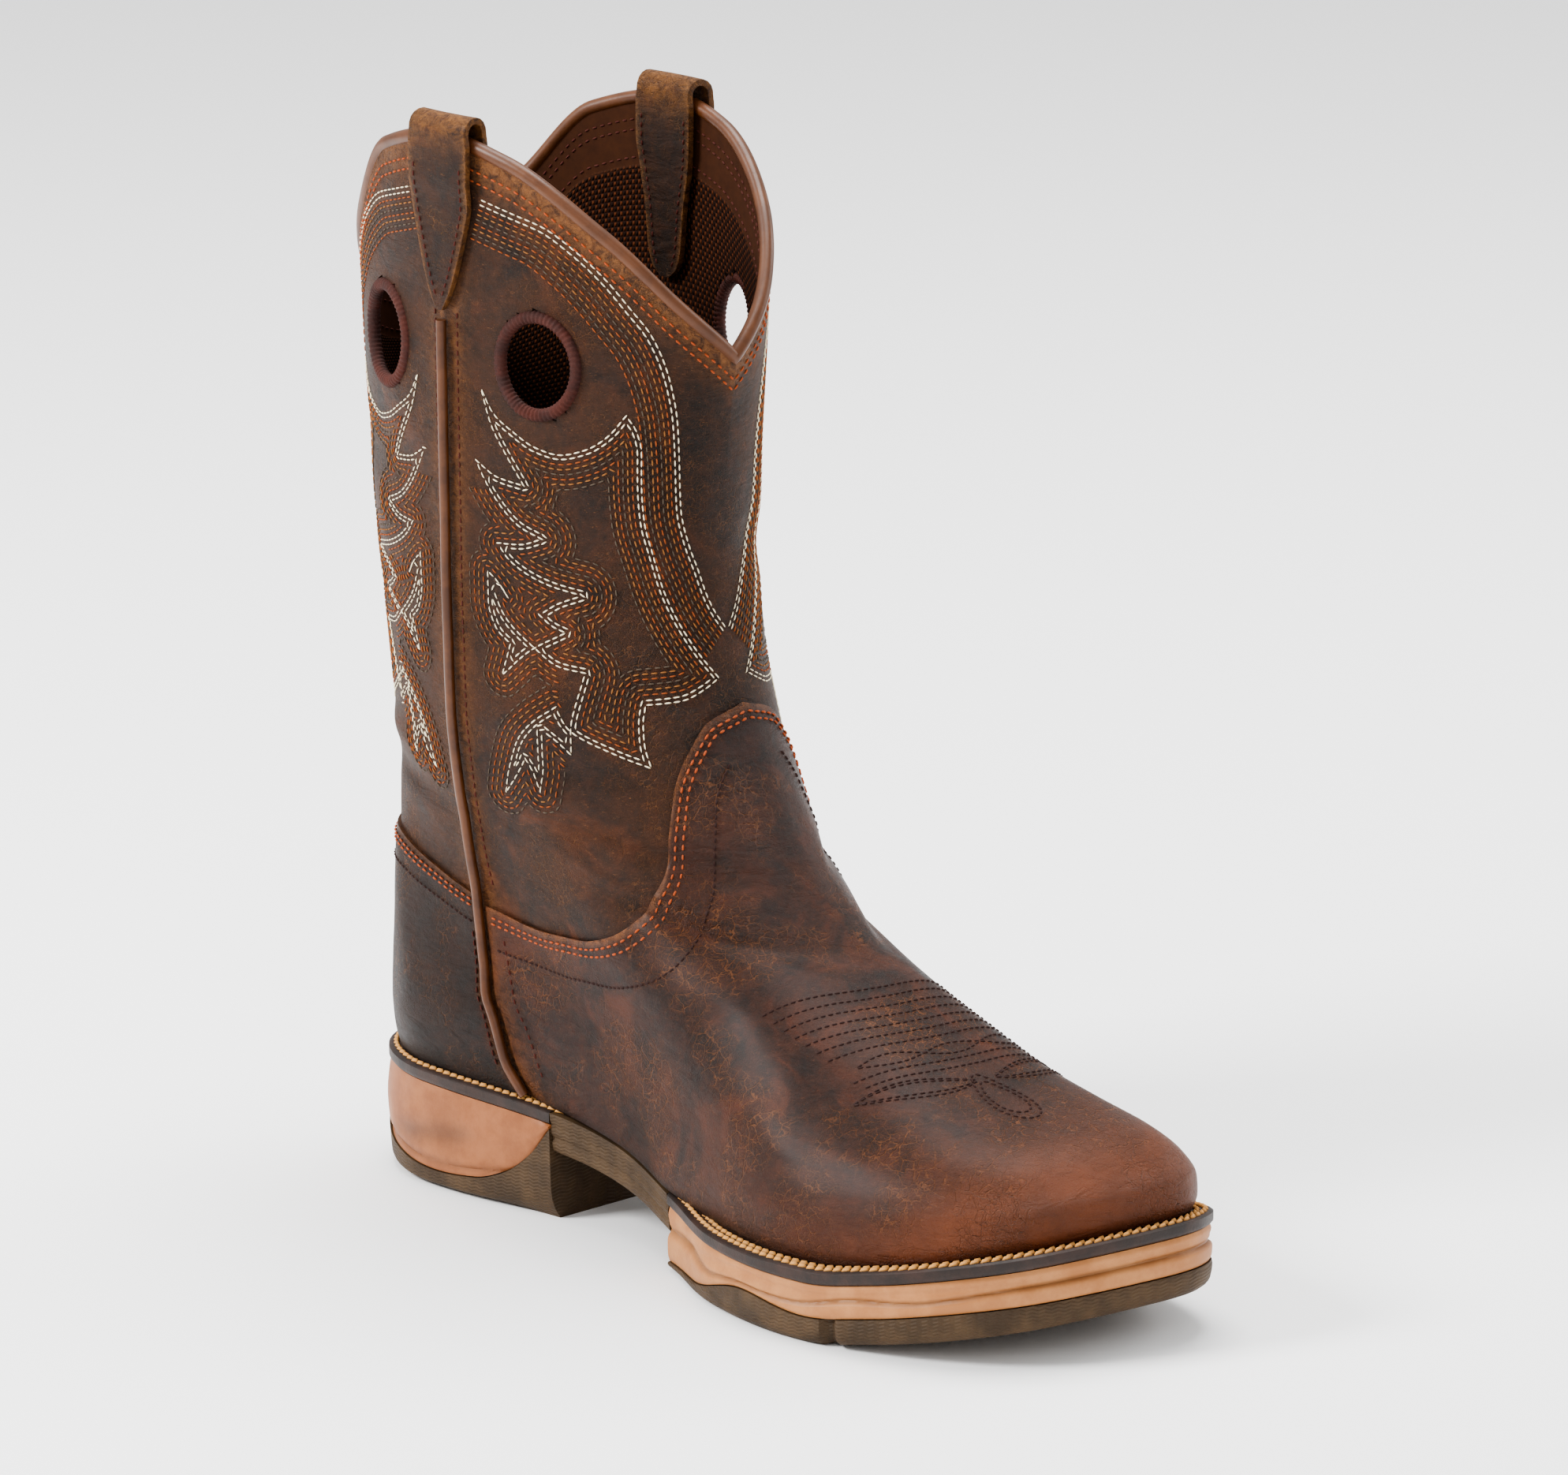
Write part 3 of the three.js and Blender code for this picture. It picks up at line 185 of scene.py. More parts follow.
class SmoothTable:
    """Smooth curve through the rows of a short table; it never overshoots them."""

    def __init__(self, rows: Sequence[tuple[float, float]]) -> None:
        """Take the rows and work out the slope at each.

        Args:
            rows: pairs of place and value, in order of place.
        """
        self.xs = np.array([row[0] for row in rows], float)
        self.ys = np.array([row[1] for row in rows], float)
        steps = np.diff(self.ys) / np.diff(self.xs)
        product = steps[:-1] * steps[1:]
        total = np.where(np.abs(steps[:-1] + steps[1:]) < 1e-12, 1.0, steps[:-1] + steps[1:])
        inner = np.where(product > 0, 2 * product / total, 0.0)
        self.slopes = np.concatenate([steps[:1], inner, steps[-1:]])

    def __call__(self, at: Array) -> Array:
        """Give the value at each place.

        Args:
            at: places, held to the table's ends.

        Returns:
            The values there.
        """
        x = np.clip(at, self.xs[0], self.xs[-1])
        i = np.clip(np.searchsorted(self.xs, x, side="right") - 1, 0, len(self.xs) - 2)
        width = self.xs[i + 1] - self.xs[i]
        s = (x - self.xs[i]) / width
        rest = 1 - s
        return (self.ys[i] * (1 + 2 * s) * rest * rest + self.ys[i + 1] * (1 + 2 * rest) * s * s
                + width * (self.slopes[i] * s * rest * rest - self.slopes[i + 1] * rest * s * s))


def closed_curve(points: Array, shares: Array) -> Array:
    """Points on a closed centripetal curve.

    Args:
        points: the corners that it passes through.
        shares: places on it, from 0 to 1.

    Returns:
        One point for each share.
    """
    count = len(points)
    place = shares * count
    i = np.floor(place).astype(int)
    w = (place - i)[:, None]
    p0, p1, p2, p3 = (points[(i + k) % count] for k in (-1, 0, 1, 2))
    d0, d1, d2 = (np.sqrt(np.linalg.norm(b - a, axis=1))[:, None] for a, b in ((p0, p1), (p1, p2), (p2, p3)))
    t1 = ((p1 - p0) / d0 - (p2 - p0) / (d0 + d1) + (p2 - p1) / d1) * d1
    t2 = ((p2 - p1) / d1 - (p3 - p1) / (d1 + d2) + (p3 - p2) / d2) * d1
    return p1 + t1 * w + (-3 * p1 + 3 * p2 - 2 * t1 - t2) * w ** 2 + (2 * p1 - 2 * p2 + t1 + t2) * w ** 3


def resample(points: Array, count: int) -> Array:
    """Points at equal steps along a line.

    Args:
        points: corners of the line.
        count: how many points to give.

    Returns:
        The evenly spaced points.
    """
    run = np.concatenate([[0.0], np.cumsum(np.linalg.norm(np.diff(points, axis=0), axis=1))])
    aim = np.linspace(0.0, run[-1], count)
    return np.stack([np.interp(aim, run, points[:, k]) for k in range(points.shape[1])], axis=1)


class SoleOutline:
    """Outline of the sole, and the same line moved inwards."""

    FINE = 240

    def __init__(self, sizes: BootSizes) -> None:
        """Draw the outline from the two half tables.

        Args:
            sizes: the boot's sizes.
        """
        self.sizes = sizes
        widths = {"heel": sizes.heel_width, "ball": sizes.ball_width}
        outer = [(at * sizes.sole_length, -out * widths[key]) for at, out, key in LATERAL]
        inner = [(at * sizes.sole_length, out * widths[key]) for at, out, key in MEDIAL][1:-1][::-1]
        corners = np.array(outer + inner)
        tip = (len(outer) - 1) / len(corners)
        half = np.arange(self.FINE) / self.FINE
        self.line = closed_curve(corners, np.concatenate([tip * half, tip + (1 - tip) * half]))

    def inset(self, reach: Array | float) -> Array:
        """The outline moved inwards.

        Args:
            reach: distance for each point, or one for all.

        Returns:
            The moved line, from the back of the heel by the outer side.
        """
        along = np.roll(self.line, -1, axis=0) - np.roll(self.line, 1, axis=0)
        along /= np.linalg.norm(along, axis=1)[:, None]
        side = np.stack([-along[:, 1], along[:, 0]], axis=1)
        return self.line + side * np.broadcast_to(reach, len(self.line))[:, None]


class UpperForm:
    """Outer face of the upper: the same function as in the part's source."""

    def __init__(self, sizes: BootSizes) -> None:
        """Prepare the tables and the foot's outline.

        Args:
            sizes: the boot's sizes.
        """
        self.sizes = sizes
        self.outline = SoleOutline(sizes)
        reach = SmoothTable((
            (0.0, sizes.heel_reach), (0.25, sizes.heel_reach * 0.85), (0.38, sizes.waist_reach),
            (0.47, sizes.waist_reach), (0.60, sizes.welt_reach * 0.9), (1.0, sizes.welt_reach)))
        moved = self.outline.inset(reach(self.outline.line[:, 0] / sizes.sole_length))
        fine = SoleOutline.FINE
        self.halves = (resample(moved[:fine + 1], fine),
                       resample(np.concatenate([moved[:1], moved[fine:][::-1]]), fine))
        self.foot_start = self.halves[0][0, 0]
        self.foot_end = max(half[:, 0].max() for half in self.halves)
        self.rings = {name: SmoothTable([(i, row[k]) for i, row in enumerate(RINGS)])
                      for k, name in enumerate(RING_COLUMNS)}
        self.collar = SmoothTable(COLLAR)
        self.seat = SmoothTable(SEAT)
        self.seam = SmoothTable(SEAM)
        self.vamp_edge = SmoothTable(VAMP_EDGE)
        self.counter_edge = SmoothTable(COUNTER_EDGE)
        self.seam_tables = [self.seam_table(sign) for sign in (-1, 1)]

    def welt_top(self, x: Array) -> Array:
        """Height of the welt's top at a distance from the back of the heel."""
        return self.seat(x / self.sizes.sole_length) + self.sizes.welt_thickness

    def point(self, turn: Array, ring: Array) -> Array:
        """Point on the outer face.

        Args:
            turn: 0 at the back, 1 at the front, 2 at the back again, by the outer side first.
            ring: 0 at the welt to LAST_RING at the collar.

        Returns:
            Points in millimetres, in the last axis.
        """
        turn, ring = np.broadcast_arrays(np.asarray(turn, float), np.asarray(ring, float))
        lap = np.mod(turn, 2.0)
        outer = lap <= 1
        share = np.where(outer, lap, 2 - lap)
        sign = np.where(outer, -1.0, 1.0)
        place = np.clip(share, 0, 1) * (SoleOutline.FINE - 1)
        steps = np.arange(SoleOutline.FINE)
        foot_x, foot_y = (np.where(outer, np.interp(place, steps, self.halves[0][:, k]),
                                   np.interp(place, steps, self.halves[1][:, k])) for k in (0, 1))
        at = {name: table(ring) for name, table in self.rings.items()}
        along = (foot_x - self.foot_start) / (self.foot_end - self.foot_start)
        blend = np.clip((along - 0.25) / 0.35, 0, 1)
        blend = blend * blend * (3 - 2 * blend)
        width = at["heel"] + (at["ball"] - at["heel"]) * blend
        angle = np.pi * share
        oval = at["oval"]
        lengthwise = along + ((1 - np.cos(angle)) / 2 - along) * oval
        oval_y = sign * at["girth"] * self.sizes.shaft_width / 2 * np.sin(angle)
        x = self.sizes.sole_length * (at["back"] + (at["front"] - at["back"]) * lengthwise)
        y = (foot_y * width + (oval_y - foot_y * width) * oval
             + self.sizes.shaft_lean * at["lean"] * (1 + (oval - 1) * 0.5))
        low, high = self.welt_top(np.array([0.0, self.sizes.sole_length]))
        chord = low + (high - low) * lengthwise
        base = chord + (self.welt_top(foot_x) - chord) * at["keep"]
        raised = self.sizes.leg_height * (at["rear"] + (at["fore"] - at["rear"]) * lengthwise)
        top = at["rise"] * self.sizes.collar_rise * self.collar(share)
        return np.stack([x, y, base + raised + top + self.sizes.seat_gap], axis=-1)

    def normal(self, turn: Array, ring: Array) -> Array:
        """Outward direction of the outer face, of length one."""
        across = self.point(turn + 0.004, ring) - self.point(turn - 0.004, ring)
        up = (self.point(turn, np.minimum(LAST_RING, ring + 0.05))
              - self.point(turn, np.maximum(0.0, ring - 0.05)))
        out = np.cross(across, up)
        return out / np.linalg.norm(out, axis=-1, keepdims=True)

    def offset(self, turn: Array, ring: Array, out: Array | float) -> Array:
        """Point at a distance out of the outer face; the lowest ring stays level on the welt."""
        turn, ring, out = np.broadcast_arrays(np.asarray(turn, float), np.asarray(ring, float), out)
        point = self.point(turn, ring) + self.normal(turn, ring) * np.asarray(out)[..., None]
        level = self.welt_top(point[..., 0]) + self.sizes.seat_gap
        point[..., 2] = np.where(ring <= 0, level, np.maximum(point[..., 2], level))
        return point

    def ring_at(self, turn: Array, height: Array) -> Array:
        """The ring that passes through a height at each turn."""
        turn, height = np.broadcast_arrays(np.asarray(turn, float), np.asarray(height, float))
        low, high = np.zeros(turn.shape), np.full(turn.shape, LAST_RING)
        for _ in range(22):
            middle = (low + high) / 2
            under = self.point(turn, middle)[..., 2] < height
            low, high = np.where(under, middle, low), np.where(under, high, middle)
        return (low + high) / 2

    def seam_table(self, sign: int) -> SmoothTable:
        """Share from back to front of the side seam against height, on one side."""
        lowest = self.welt_top(np.array(self.sizes.sole_length * 0.28))
        heights = np.linspace(lowest, self.sizes.hole_level * 1.3, 24)
        aim = self.seam(heights / self.sizes.leg_height) * self.sizes.sole_length
        low, high = np.full(24, 0.05), np.full(24, 0.9)
        for _ in range(22):
            middle = (low + high) / 2
            turn = middle if sign < 0 else 2 - middle
            under = self.point(turn, self.ring_at(turn, heights))[..., 0] < aim
            low, high = np.where(under, middle, low), np.where(under, high, middle)
        return SmoothTable(list(zip(heights.tolist(), ((low + high) / 2).tolist())))

    def turn(self, sign: Array | int, share: Array) -> Array:
        """Turn of a share from back to front, on the outer side (-1) or the inner side (1)."""
        return np.where(np.asarray(sign) < 0, share, 2 - share)

    def seam_share(self, sign: Array | int, height: Array) -> Array:
        """Share from back to front of the side seam at a height."""
        return np.where(np.asarray(sign) < 0, self.seam_tables[0](height), self.seam_tables[1](height))


class Nodes:
    """Short way to build a material's node tree."""

    def __init__(self, name: str) -> None:
        """Start a material with a Principled shader.

        Args:
            name: the material's name.
        """
        self.material = bpy.data.materials.new(name)
        self.material.use_nodes = True
        self.tree = self.material.node_tree
        self.shader = self.tree.nodes["Principled BSDF"]
        self.coords = self.tree.nodes.new("ShaderNodeTexCoord").outputs["Object"]

    def link(self, source: object, target: object) -> None:
        """Join an output, or set a plain value, to an input."""
        if isinstance(source, bpy.types.NodeSocket):
            self.tree.links.new(source, target)
        else:
            target.default_value = source

    def add(self, kind: str, inputs: dict[object, object], **settings: object) -> object:
        """Add a node.

        Args:
            kind: its type without the ShaderNode prefix.
            inputs: values or sockets for its inputs, by name or number.
            settings: its other settings.

        Returns:
            The node.
        """
        node = self.tree.nodes.new("ShaderNode" + kind)
        for key, value in settings.items():
            setattr(node, key, value)
        for key, value in inputs.items():
            self.link(value, node.inputs[key])
        return node

    def mapped(self, scale: tuple[float, float, float]) -> object:
        """Object coordinates, stretched."""
        return self.add("Mapping", {"Vector": self.coords, "Scale": scale}).outputs[0]

    def noise(self, scale: float, detail: float = 4.0, rough: float = 0.55, warp: float = 0.0,
              at: object = None) -> object:
        """Noise from 0 to 1 at a scale per metre."""
        inputs = {"Vector": at or self.coords, "Scale": scale, "Detail": detail, "Roughness": rough,
                  "Distortion": warp}
        return self.add("TexNoise", inputs).outputs[0]

    def cells(self, scale: float, at: object = None, feature: str = "DISTANCE_TO_EDGE") -> object:
        """Distance in a cell pattern."""
        node = self.add("TexVoronoi", {"Vector": at or self.coords, "Scale": scale}, feature=feature)
        return node.outputs["Distance"]

    def ramp(self, source: object, low: float, high: float, start: float = 0.0, end: float = 1.0) -> object:
        """Bring a range of values to another range, with both ends held."""
        inputs = {0: source, 1: low, 2: high, 3: start, 4: end}
        return self.add("MapRange", inputs, interpolation_type="SMOOTHSTEP").outputs[0]

    def math(self, operation: str, a: object, b: object = 0.0) -> object:
        """Arithmetic on two values."""
        return self.add("Math", {0: a, 1: b}, operation=operation).outputs[0]

    def blend(self, share: object, a: object, b: object, mode: str = "MIX") -> object:
        """Mix two colours by a share."""
        node = self.tree.nodes.new("ShaderNodeMix")
        node.data_type = "RGBA"
        node.blend_type = mode
        self.link(share, node.inputs[0])
        self.link(a, node.inputs[6])
        self.link(b, node.inputs[7])
        return node.outputs[2]

    def field(self, name: str) -> object:
        """Value of a named attribute of the mesh."""
        return self.add("Attribute", {}, attribute_name=name).outputs["Fac"]

    def bump(self, height: object, distance: float, strength: float = 1.0, below: object = None) -> object:
        """Bump from a height, over another bump where one is given."""
        inputs = {"Height": height, "Distance": distance, "Strength": strength}
        if below is not None:
            inputs["Normal"] = below
        return self.add("Bump", inputs).outputs[0]

    def finish(self, colour: object, roughness: object, normal: object = None, coat: float = 0.0,
               specular: float = 0.4, sheen: float = 0.0) -> bpy.types.Material:
        """Join everything to the shader and give the material."""
        self.link(colour, self.shader.inputs["Base Color"])
        self.link(roughness, self.shader.inputs["Roughness"])
        if normal is not None:
            self.link(normal, self.shader.inputs["Normal"])
        self.shader.inputs["Coat Weight"].default_value = coat
        self.shader.inputs["Coat Roughness"].default_value = 0.35
        self.shader.inputs["Specular IOR Level"].default_value = specular
        self.shader.inputs["Sheen Weight"].default_value = sheen
        return self.material


@dataclass(frozen=True)
class Leather:
    """A pull-up leather with blotches, fibre lines, crackle and rubbed edges."""

    name: str
    dark: str
    middle: str
    warm: str
    rubbed: str
    crackle: float
    crackle_scale: float
    fibres: float
    roughness: float
    coat: float = 0.06
    burnish: str = ""

    def build(self) -> bpy.types.Material:
        """Make the material."""
        n = Nodes(self.name)
        broad = n.noise(17.0, 5.0, 0.6, 0.8)
        patch = n.noise(46.0, 6.0, 0.65, 1.2)
        mottle = n.noise(210.0, 5.0, 0.7, 0.5)
        tone = n.math("ADD", n.math("MULTIPLY", broad, 0.55), n.math("MULTIPLY", patch, 0.45))
        colour = n.blend(n.ramp(tone, 0.40, 0.62), linear(self.dark), linear(self.middle))
        warm = n.math("MULTIPLY", n.ramp(n.noise(31.0, 6.0, 0.62, 1.5), 0.50, 0.72), 0.85)
        colour = n.blend(warm, colour, linear(self.warm))
        colour = n.blend(n.ramp(mottle, 0.35, 0.75, 0.0, 0.35), colour, linear(self.warm))
        level = n.mapped((1.0, 1.0, 3.2))
        fibre = n.noise(420.0, 8.0, 0.78, 2.2, level)
        fibre_line = n.math("MULTIPLY", n.ramp(fibre, 0.56, 0.70), self.fibres)
        colour = n.blend(fibre_line, colour, linear(self.rubbed))
        shaken = n.add("VectorMath", {0: n.coords, 1: n.add("VectorMath", {
            0: n.add("TexNoise", {"Vector": n.coords, "Scale": 160.0, "Detail": 5.0}).outputs["Color"],
            1: (0.007, 0.007, 0.007)}, operation="MULTIPLY").outputs[0]}, operation="ADD").outputs[0]
        cell = n.cells(self.crackle_scale, shaken)
        fine = n.cells(self.crackle_scale * 3.1, shaken)
        where = n.ramp(n.noise(34.0, 4.0, 0.6), 0.44, 0.60)
        line = n.math("MULTIPLY", n.ramp(cell, 0.0, 0.055, 1.0, 0.0), where)
        fine_line = n.math("MULTIPLY", n.ramp(fine, 0.0, 0.10, 1.0, 0.0), where)
        colour = n.blend(n.math("MULTIPLY", line, self.crackle), colour, linear(self.rubbed))
        colour = n.blend(n.math("MULTIPLY", fine_line, self.crackle * 0.45), colour, linear(self.rubbed))
        rub = n.math("MULTIPLY", n.field("rub"), n.ramp(n.noise(300.0, 6.0, 0.75, 1.0), 0.30, 0.68))
        colour = n.blend(n.math("MULTIPLY", rub, 0.85), colour, linear(self.rubbed))
        colour = n.blend(n.math("MULTIPLY", n.field("shade"), 0.75), colour, linear("100a06"))
        if self.burnish:
            glow = n.math("MULTIPLY", n.field("burnish"), n.ramp(n.noise(60.0, 4.0), 0.25, 0.75, 0.6, 1.0))
            colour = n.blend(glow, colour, linear(self.burnish))
        pores = n.cells(1500.0, feature="F1")
        grain = n.math("MULTIPLY", n.noise(950.0, 6.0, 0.7), 0.5)
        height = n.math("ADD", n.math("MULTIPLY", fibre, 0.9), grain)
        height = n.math("ADD", height, n.math("MULTIPLY", n.ramp(pores, 0.0, 0.5), 0.25))
        height = n.math("SUBTRACT", height, n.math("MULTIPLY", line, 0.9))
        height = n.math("SUBTRACT", height, n.math("MULTIPLY", fine_line, 0.4))
        soft = n.bump(n.noise(75.0, 4.0, 0.55, 1.2, level), 0.0032, 0.6)
        normal = n.bump(height, 0.0006, 0.95, soft)
        rough = n.ramp(tone, 0.3, 0.7, self.roughness - 0.1, self.roughness + 0.1)
        return n.finish(colour, rough, normal, self.coat, 0.24)


@dataclass(frozen=True)
class Plain:
    """A smooth or grained finish of one or two tones, for cord, thread and rubber."""

    name: str
    base: str
    second: str
    roughness: float
    grain: float = 900.0
    depth: float = 0.0002
    coat: float = 0.0
    sheen: float = 0.0

    def build(self) -> bpy.types.Material:
        """Make the material."""
        n = Nodes(self.name)
        tone = n.ramp(n.noise(90.0, 5.0, 0.65), 0.35, 0.68)
        colour = n.blend(tone, linear(self.base), linear(self.second))
        colour = n.blend(n.math("MULTIPLY", n.field("shade"), 0.8), colour, linear("17100b"))
        colour = n.blend(n.math("MULTIPLY", n.field("rub"), 0.6), colour, linear(self.second))
        normal = n.bump(n.noise(self.grain, 5.0, 0.65), self.depth, 0.8)
        rough = n.ramp(n.noise(55.0, 4.0), 0.3, 0.7, self.roughness - 0.07, self.roughness + 0.07)
        return n.finish(colour, rough, normal, self.coat, 0.35, self.sheen)


@dataclass(frozen=True)
class Woven:
    """Coarse woven lining whose yarns follow the piece's own map."""

    name: str
    yarn: str
    gap: str
    across: float
    along: float

    def build(self) -> bpy.types.Material:
        """Make the material."""
        n = Nodes(self.name)
        grid = n.add("UVMap", {}, uv_map="UVMap").outputs[0]
        at = n.add("Mapping", {"Vector": grid, "Scale": (self.across, self.along, 1.0)}).outputs[0]
        split = n.add("SeparateXYZ", {0: at}).outputs
        wave_x = n.math("SINE", n.math("MULTIPLY", split[0], 6.28318))
        wave_y = n.math("SINE", n.math("MULTIPLY", split[1], 6.28318))
        weave = n.math("MULTIPLY", wave_x, wave_y)
        lift = n.math("ADD", n.math("ABSOLUTE", weave), n.math("MULTIPLY", n.noise(2500.0, 3.0), 0.4))
        over = n.ramp(weave, -0.3, 0.9)
        colour = n.blend(over, linear(self.gap), linear(self.yarn))
        leather = n.ramp(n.field("edge"), 19.0, 20.5, 1.0, 0.0)
        facing = n.blend(n.noise(260.0, 6.0, 0.7), linear("2a160c"), linear("4a2a17"))
        colour = n.blend(leather, colour, facing)
        fade = n.math("MULTIPLY", lift, n.math("SUBTRACT", 1.0, leather))
        return n.finish(colour, 0.85, n.bump(fade, 0.0007, 0.9), 0.0, 0.15, 0.0)


@dataclass(frozen=True)
class Tread:
    """Moulded rubber with fine zigzag ribs on its side."""

    name: str
    base: str
    second: str

    def build(self) -> bpy.types.Material:
        """Make the material."""
        n = Nodes(self.name)
        split = n.add("SeparateXYZ", {0: n.coords}).outputs
        around = n.math("ADD", split[0], n.math("MULTIPLY", split[1], 0.6))
        saw = n.math("FRACT", n.math("MULTIPLY", around, 260.0))
        zigzag = n.math("ABSOLUTE", n.math("SUBTRACT", saw, 0.5))
        rib = n.math("FRACT", n.math("ADD", n.math("MULTIPLY", split[2], 900.0), zigzag))
        side = n.ramp(n.math("ABSOLUTE", n.add("SeparateXYZ", {
            0: n.add("NewGeometry", {}).outputs["Normal"]}).outputs[2]), 0.5, 0.8, 1.0, 0.0)
        ribs = n.math("MULTIPLY", n.ramp(n.math("ABSOLUTE", n.math("SUBTRACT", rib, 0.5)), 0.1, 0.4), side)
        tone = n.ramp(n.noise(70.0, 5.0, 0.6), 0.35, 0.7)
        colour = n.blend(tone, linear(self.base), linear(self.second))
        colour = n.blend(n.math("MULTIPLY", n.field("shade"), 0.8), colour, linear("17110a"))
        height = n.math("ADD", ribs, n.math("MULTIPLY", n.noise(1400.0, 4.0), 0.5))
        return n.finish(colour, 0.62, n.bump(height, 0.00022, 0.8), 0.0, 0.3)


class Finishes:
    """All the materials of the boot, made once."""

    def __init__(self) -> None:
        """Make each material."""
        self.shaft = Leather("shaft_leather", "170d07", "382010", "532c15", "8d5c34", 0.3, 340.0, 0.8,
                             0.55).build()
        self.vamp = Leather("vamp_leather", "1a0d07", "381b0d", "502714", "875430", 0.55, 250.0, 0.45, 0.42,
                            0.1, "6e3b20").build()
        self.counter = Leather("counter_leather", "0f0703", "211006", "36190a", "6a3f1c", 0.6, 300.0, 0.4,
                               0.48, 0.08).build()
        self.strap = Leather("strap_leather", "150b05", "31190b", "4e290f", "8f5f30", 0.5, 380.0, 0.6,
                             0.55).build()
        self.binding = Plain("binding_cord", "45250f", "5c351a", 0.42, 700.0, 0.00008, 0.15).build()
        self.ring = Plain("ring_thread", "2c0f08", "481c10", 0.7, 2600.0, 0.0004, 0.0, 0.0).build()
        self.lining = Woven("lining_weave", "5a2f17", "1c0c05", 190.0, 170.0).build()
        self.footbed = Woven("footbed_cloth", "3a2a20", "1c130d", 90.0, 60.0).build()
        self.welt = Plain("welt_edge", "1c110c", "332018", 0.5, 1200.0, 0.00015, 0.1).build()
        self.midsole = Plain("midsole_tan", "a06a3e", "b07a4c", 0.5, 1500.0, 0.00008).build()
        self.heel_tan = Plain("heel_tan", "84502e", "965f3a", 0.48, 1500.0, 0.00008).build()
        self.outsole = Tread("outsole_rubber", "3a2b1b", "4f3c27").build()
        self.threads = {
            thread: Plain("thread_" + thread.name.lower(), thread.value, thread.value, 0.75, 3000.0,
                          0.0001).build()
            for thread in Thread}


def in_edit_mode(piece: bpy.types.Object, steps: Callable[[], None]) -> None:
    """Run edit-mode operators on all of one piece.

    Args:
        piece: the object to work on.
        steps: what to do there.
    """
    bpy.ops.object.select_all(action="DESELECT")
    piece.select_set(True)
    bpy.context.view_layer.objects.active = piece
    bpy.ops.object.mode_set(mode="EDIT")
    bpy.ops.mesh.select_all(action="SELECT")
    steps()
    bpy.ops.object.mode_set(mode="OBJECT")


def apply_modifier(piece: bpy.types.Object, kind: str, **settings: object) -> None:
    """Add a modifier to a piece and apply it.

    Args:
        piece: the object to work on.
        kind: the modifier's type.
        settings: its settings.
    """
    bpy.ops.object.select_all(action="DESELECT")
    piece.select_set(True)
    bpy.context.view_layer.objects.active = piece
    modifier = piece.modifiers.new(kind.title(), kind)
    for key, value in settings.items():
        setattr(modifier, key, value)
    bpy.ops.object.modifier_apply(modifier=modifier.name)


def put_points(piece: bpy.types.Object, points: Array) -> None:
    """Move a piece's vertices to points in millimetres of the boot's own frame."""
    piece.data.vertices.foreach_set("co", ((points + HEEL_BACK) * MM).astype(np.float32).ravel())
    piece.data.update()


def put_field(piece: bpy.types.Object, name: str, values: Array) -> None:
    """Store a value for each vertex of a piece."""
    layer = piece.data.attributes.new(name, "FLOAT", "POINT")
    layer.data.foreach_set("value", np.broadcast_to(values, len(piece.data.vertices)).astype(np.float32))


def sheet_piece(name: str, columns: int, rows: int,
                place: Callable[[Array, Array], Array]) -> bpy.types.Object:
    """A grid laid over a surface.

    Args:
        name: the piece's name.
        columns: faces across.
        rows: faces up.
        place: gives the point for shares across and up, from 0 to 1.

    Returns:
        The piece, with the grid's own map.
    """
    bpy.ops.object.select_all(action="DESELECT")
    bpy.ops.mesh.primitive_grid_add(x_subdivisions=columns, y_subdivisions=rows, size=1.0, calc_uvs=True)
    piece = bpy.context.active_object
    piece.name = name
    flat = grid_shares(piece)
    put_points(piece, place(flat[:, 0], flat[:, 1]))
    return piece


def grid_shares(piece: bpy.types.Object) -> Array:
    """Shares across and up of a fresh grid's vertices."""
    flat = np.empty(len(piece.data.vertices) * 3)
    piece.data.vertices.foreach_get("co", flat)
    return flat.reshape(-1, 3)[:, :2] + 0.5


def close_and_face_out(piece: bpy.types.Object, merge: float = 2e-6) -> None:
    """Merge doubled vertices and turn the faces outwards."""
    def steps() -> None:
        """The two operators."""
        bpy.ops.mesh.remove_doubles(threshold=merge)
        bpy.ops.mesh.normals_make_consistent(inside=False)
    in_edit_mode(piece, steps)


def shade(piece: bpy.types.Object, angle: float = 0.7) -> None:
    """Shade a piece smooth, with its sharp edges kept."""
    bpy.ops.object.select_all(action="DESELECT")
    piece.select_set(True)
    bpy.context.view_layer.objects.active = piece
    bpy.ops.object.shade_smooth_by_angle(angle=angle)


def from_arrays(name: str, points: Array, faces: Sequence[Sequence[int]]) -> bpy.types.Object:
    """A mesh joined from arrays of points in millimetres and faces."""
    mesh = bpy.data.meshes.new(name)
    mesh.from_pydata(((points + HEEL_BACK) * MM).tolist(), [], faces)
    mesh.update()
    piece = bpy.data.objects.new(name, mesh)
    bpy.context.scene.collection.objects.link(piece)
    return piece


def dress(piece: bpy.types.Object, materials: Sequence[bpy.types.Material], slot: str,
          nodes: Sequence[str] = ()) -> None:
    """Give a piece its materials and body, and hide the CAD nodes that it stands for.

    Args:
        piece: the finished piece.
        materials: its materials in slot order.
        slot: not used.
        nodes: CAD nodes that it replaces.
    """
    for name in FIELDS:
        if name not in piece.data.attributes:
            put_field(piece, name, np.zeros(1))
    if not piece.data.materials:
        for material in materials:
            piece.data.materials.append(material)
    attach(piece, "root")
    if nodes:
        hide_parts(*nodes)
    log.info("%s: %d faces", piece.name, len(piece.data.polygons))


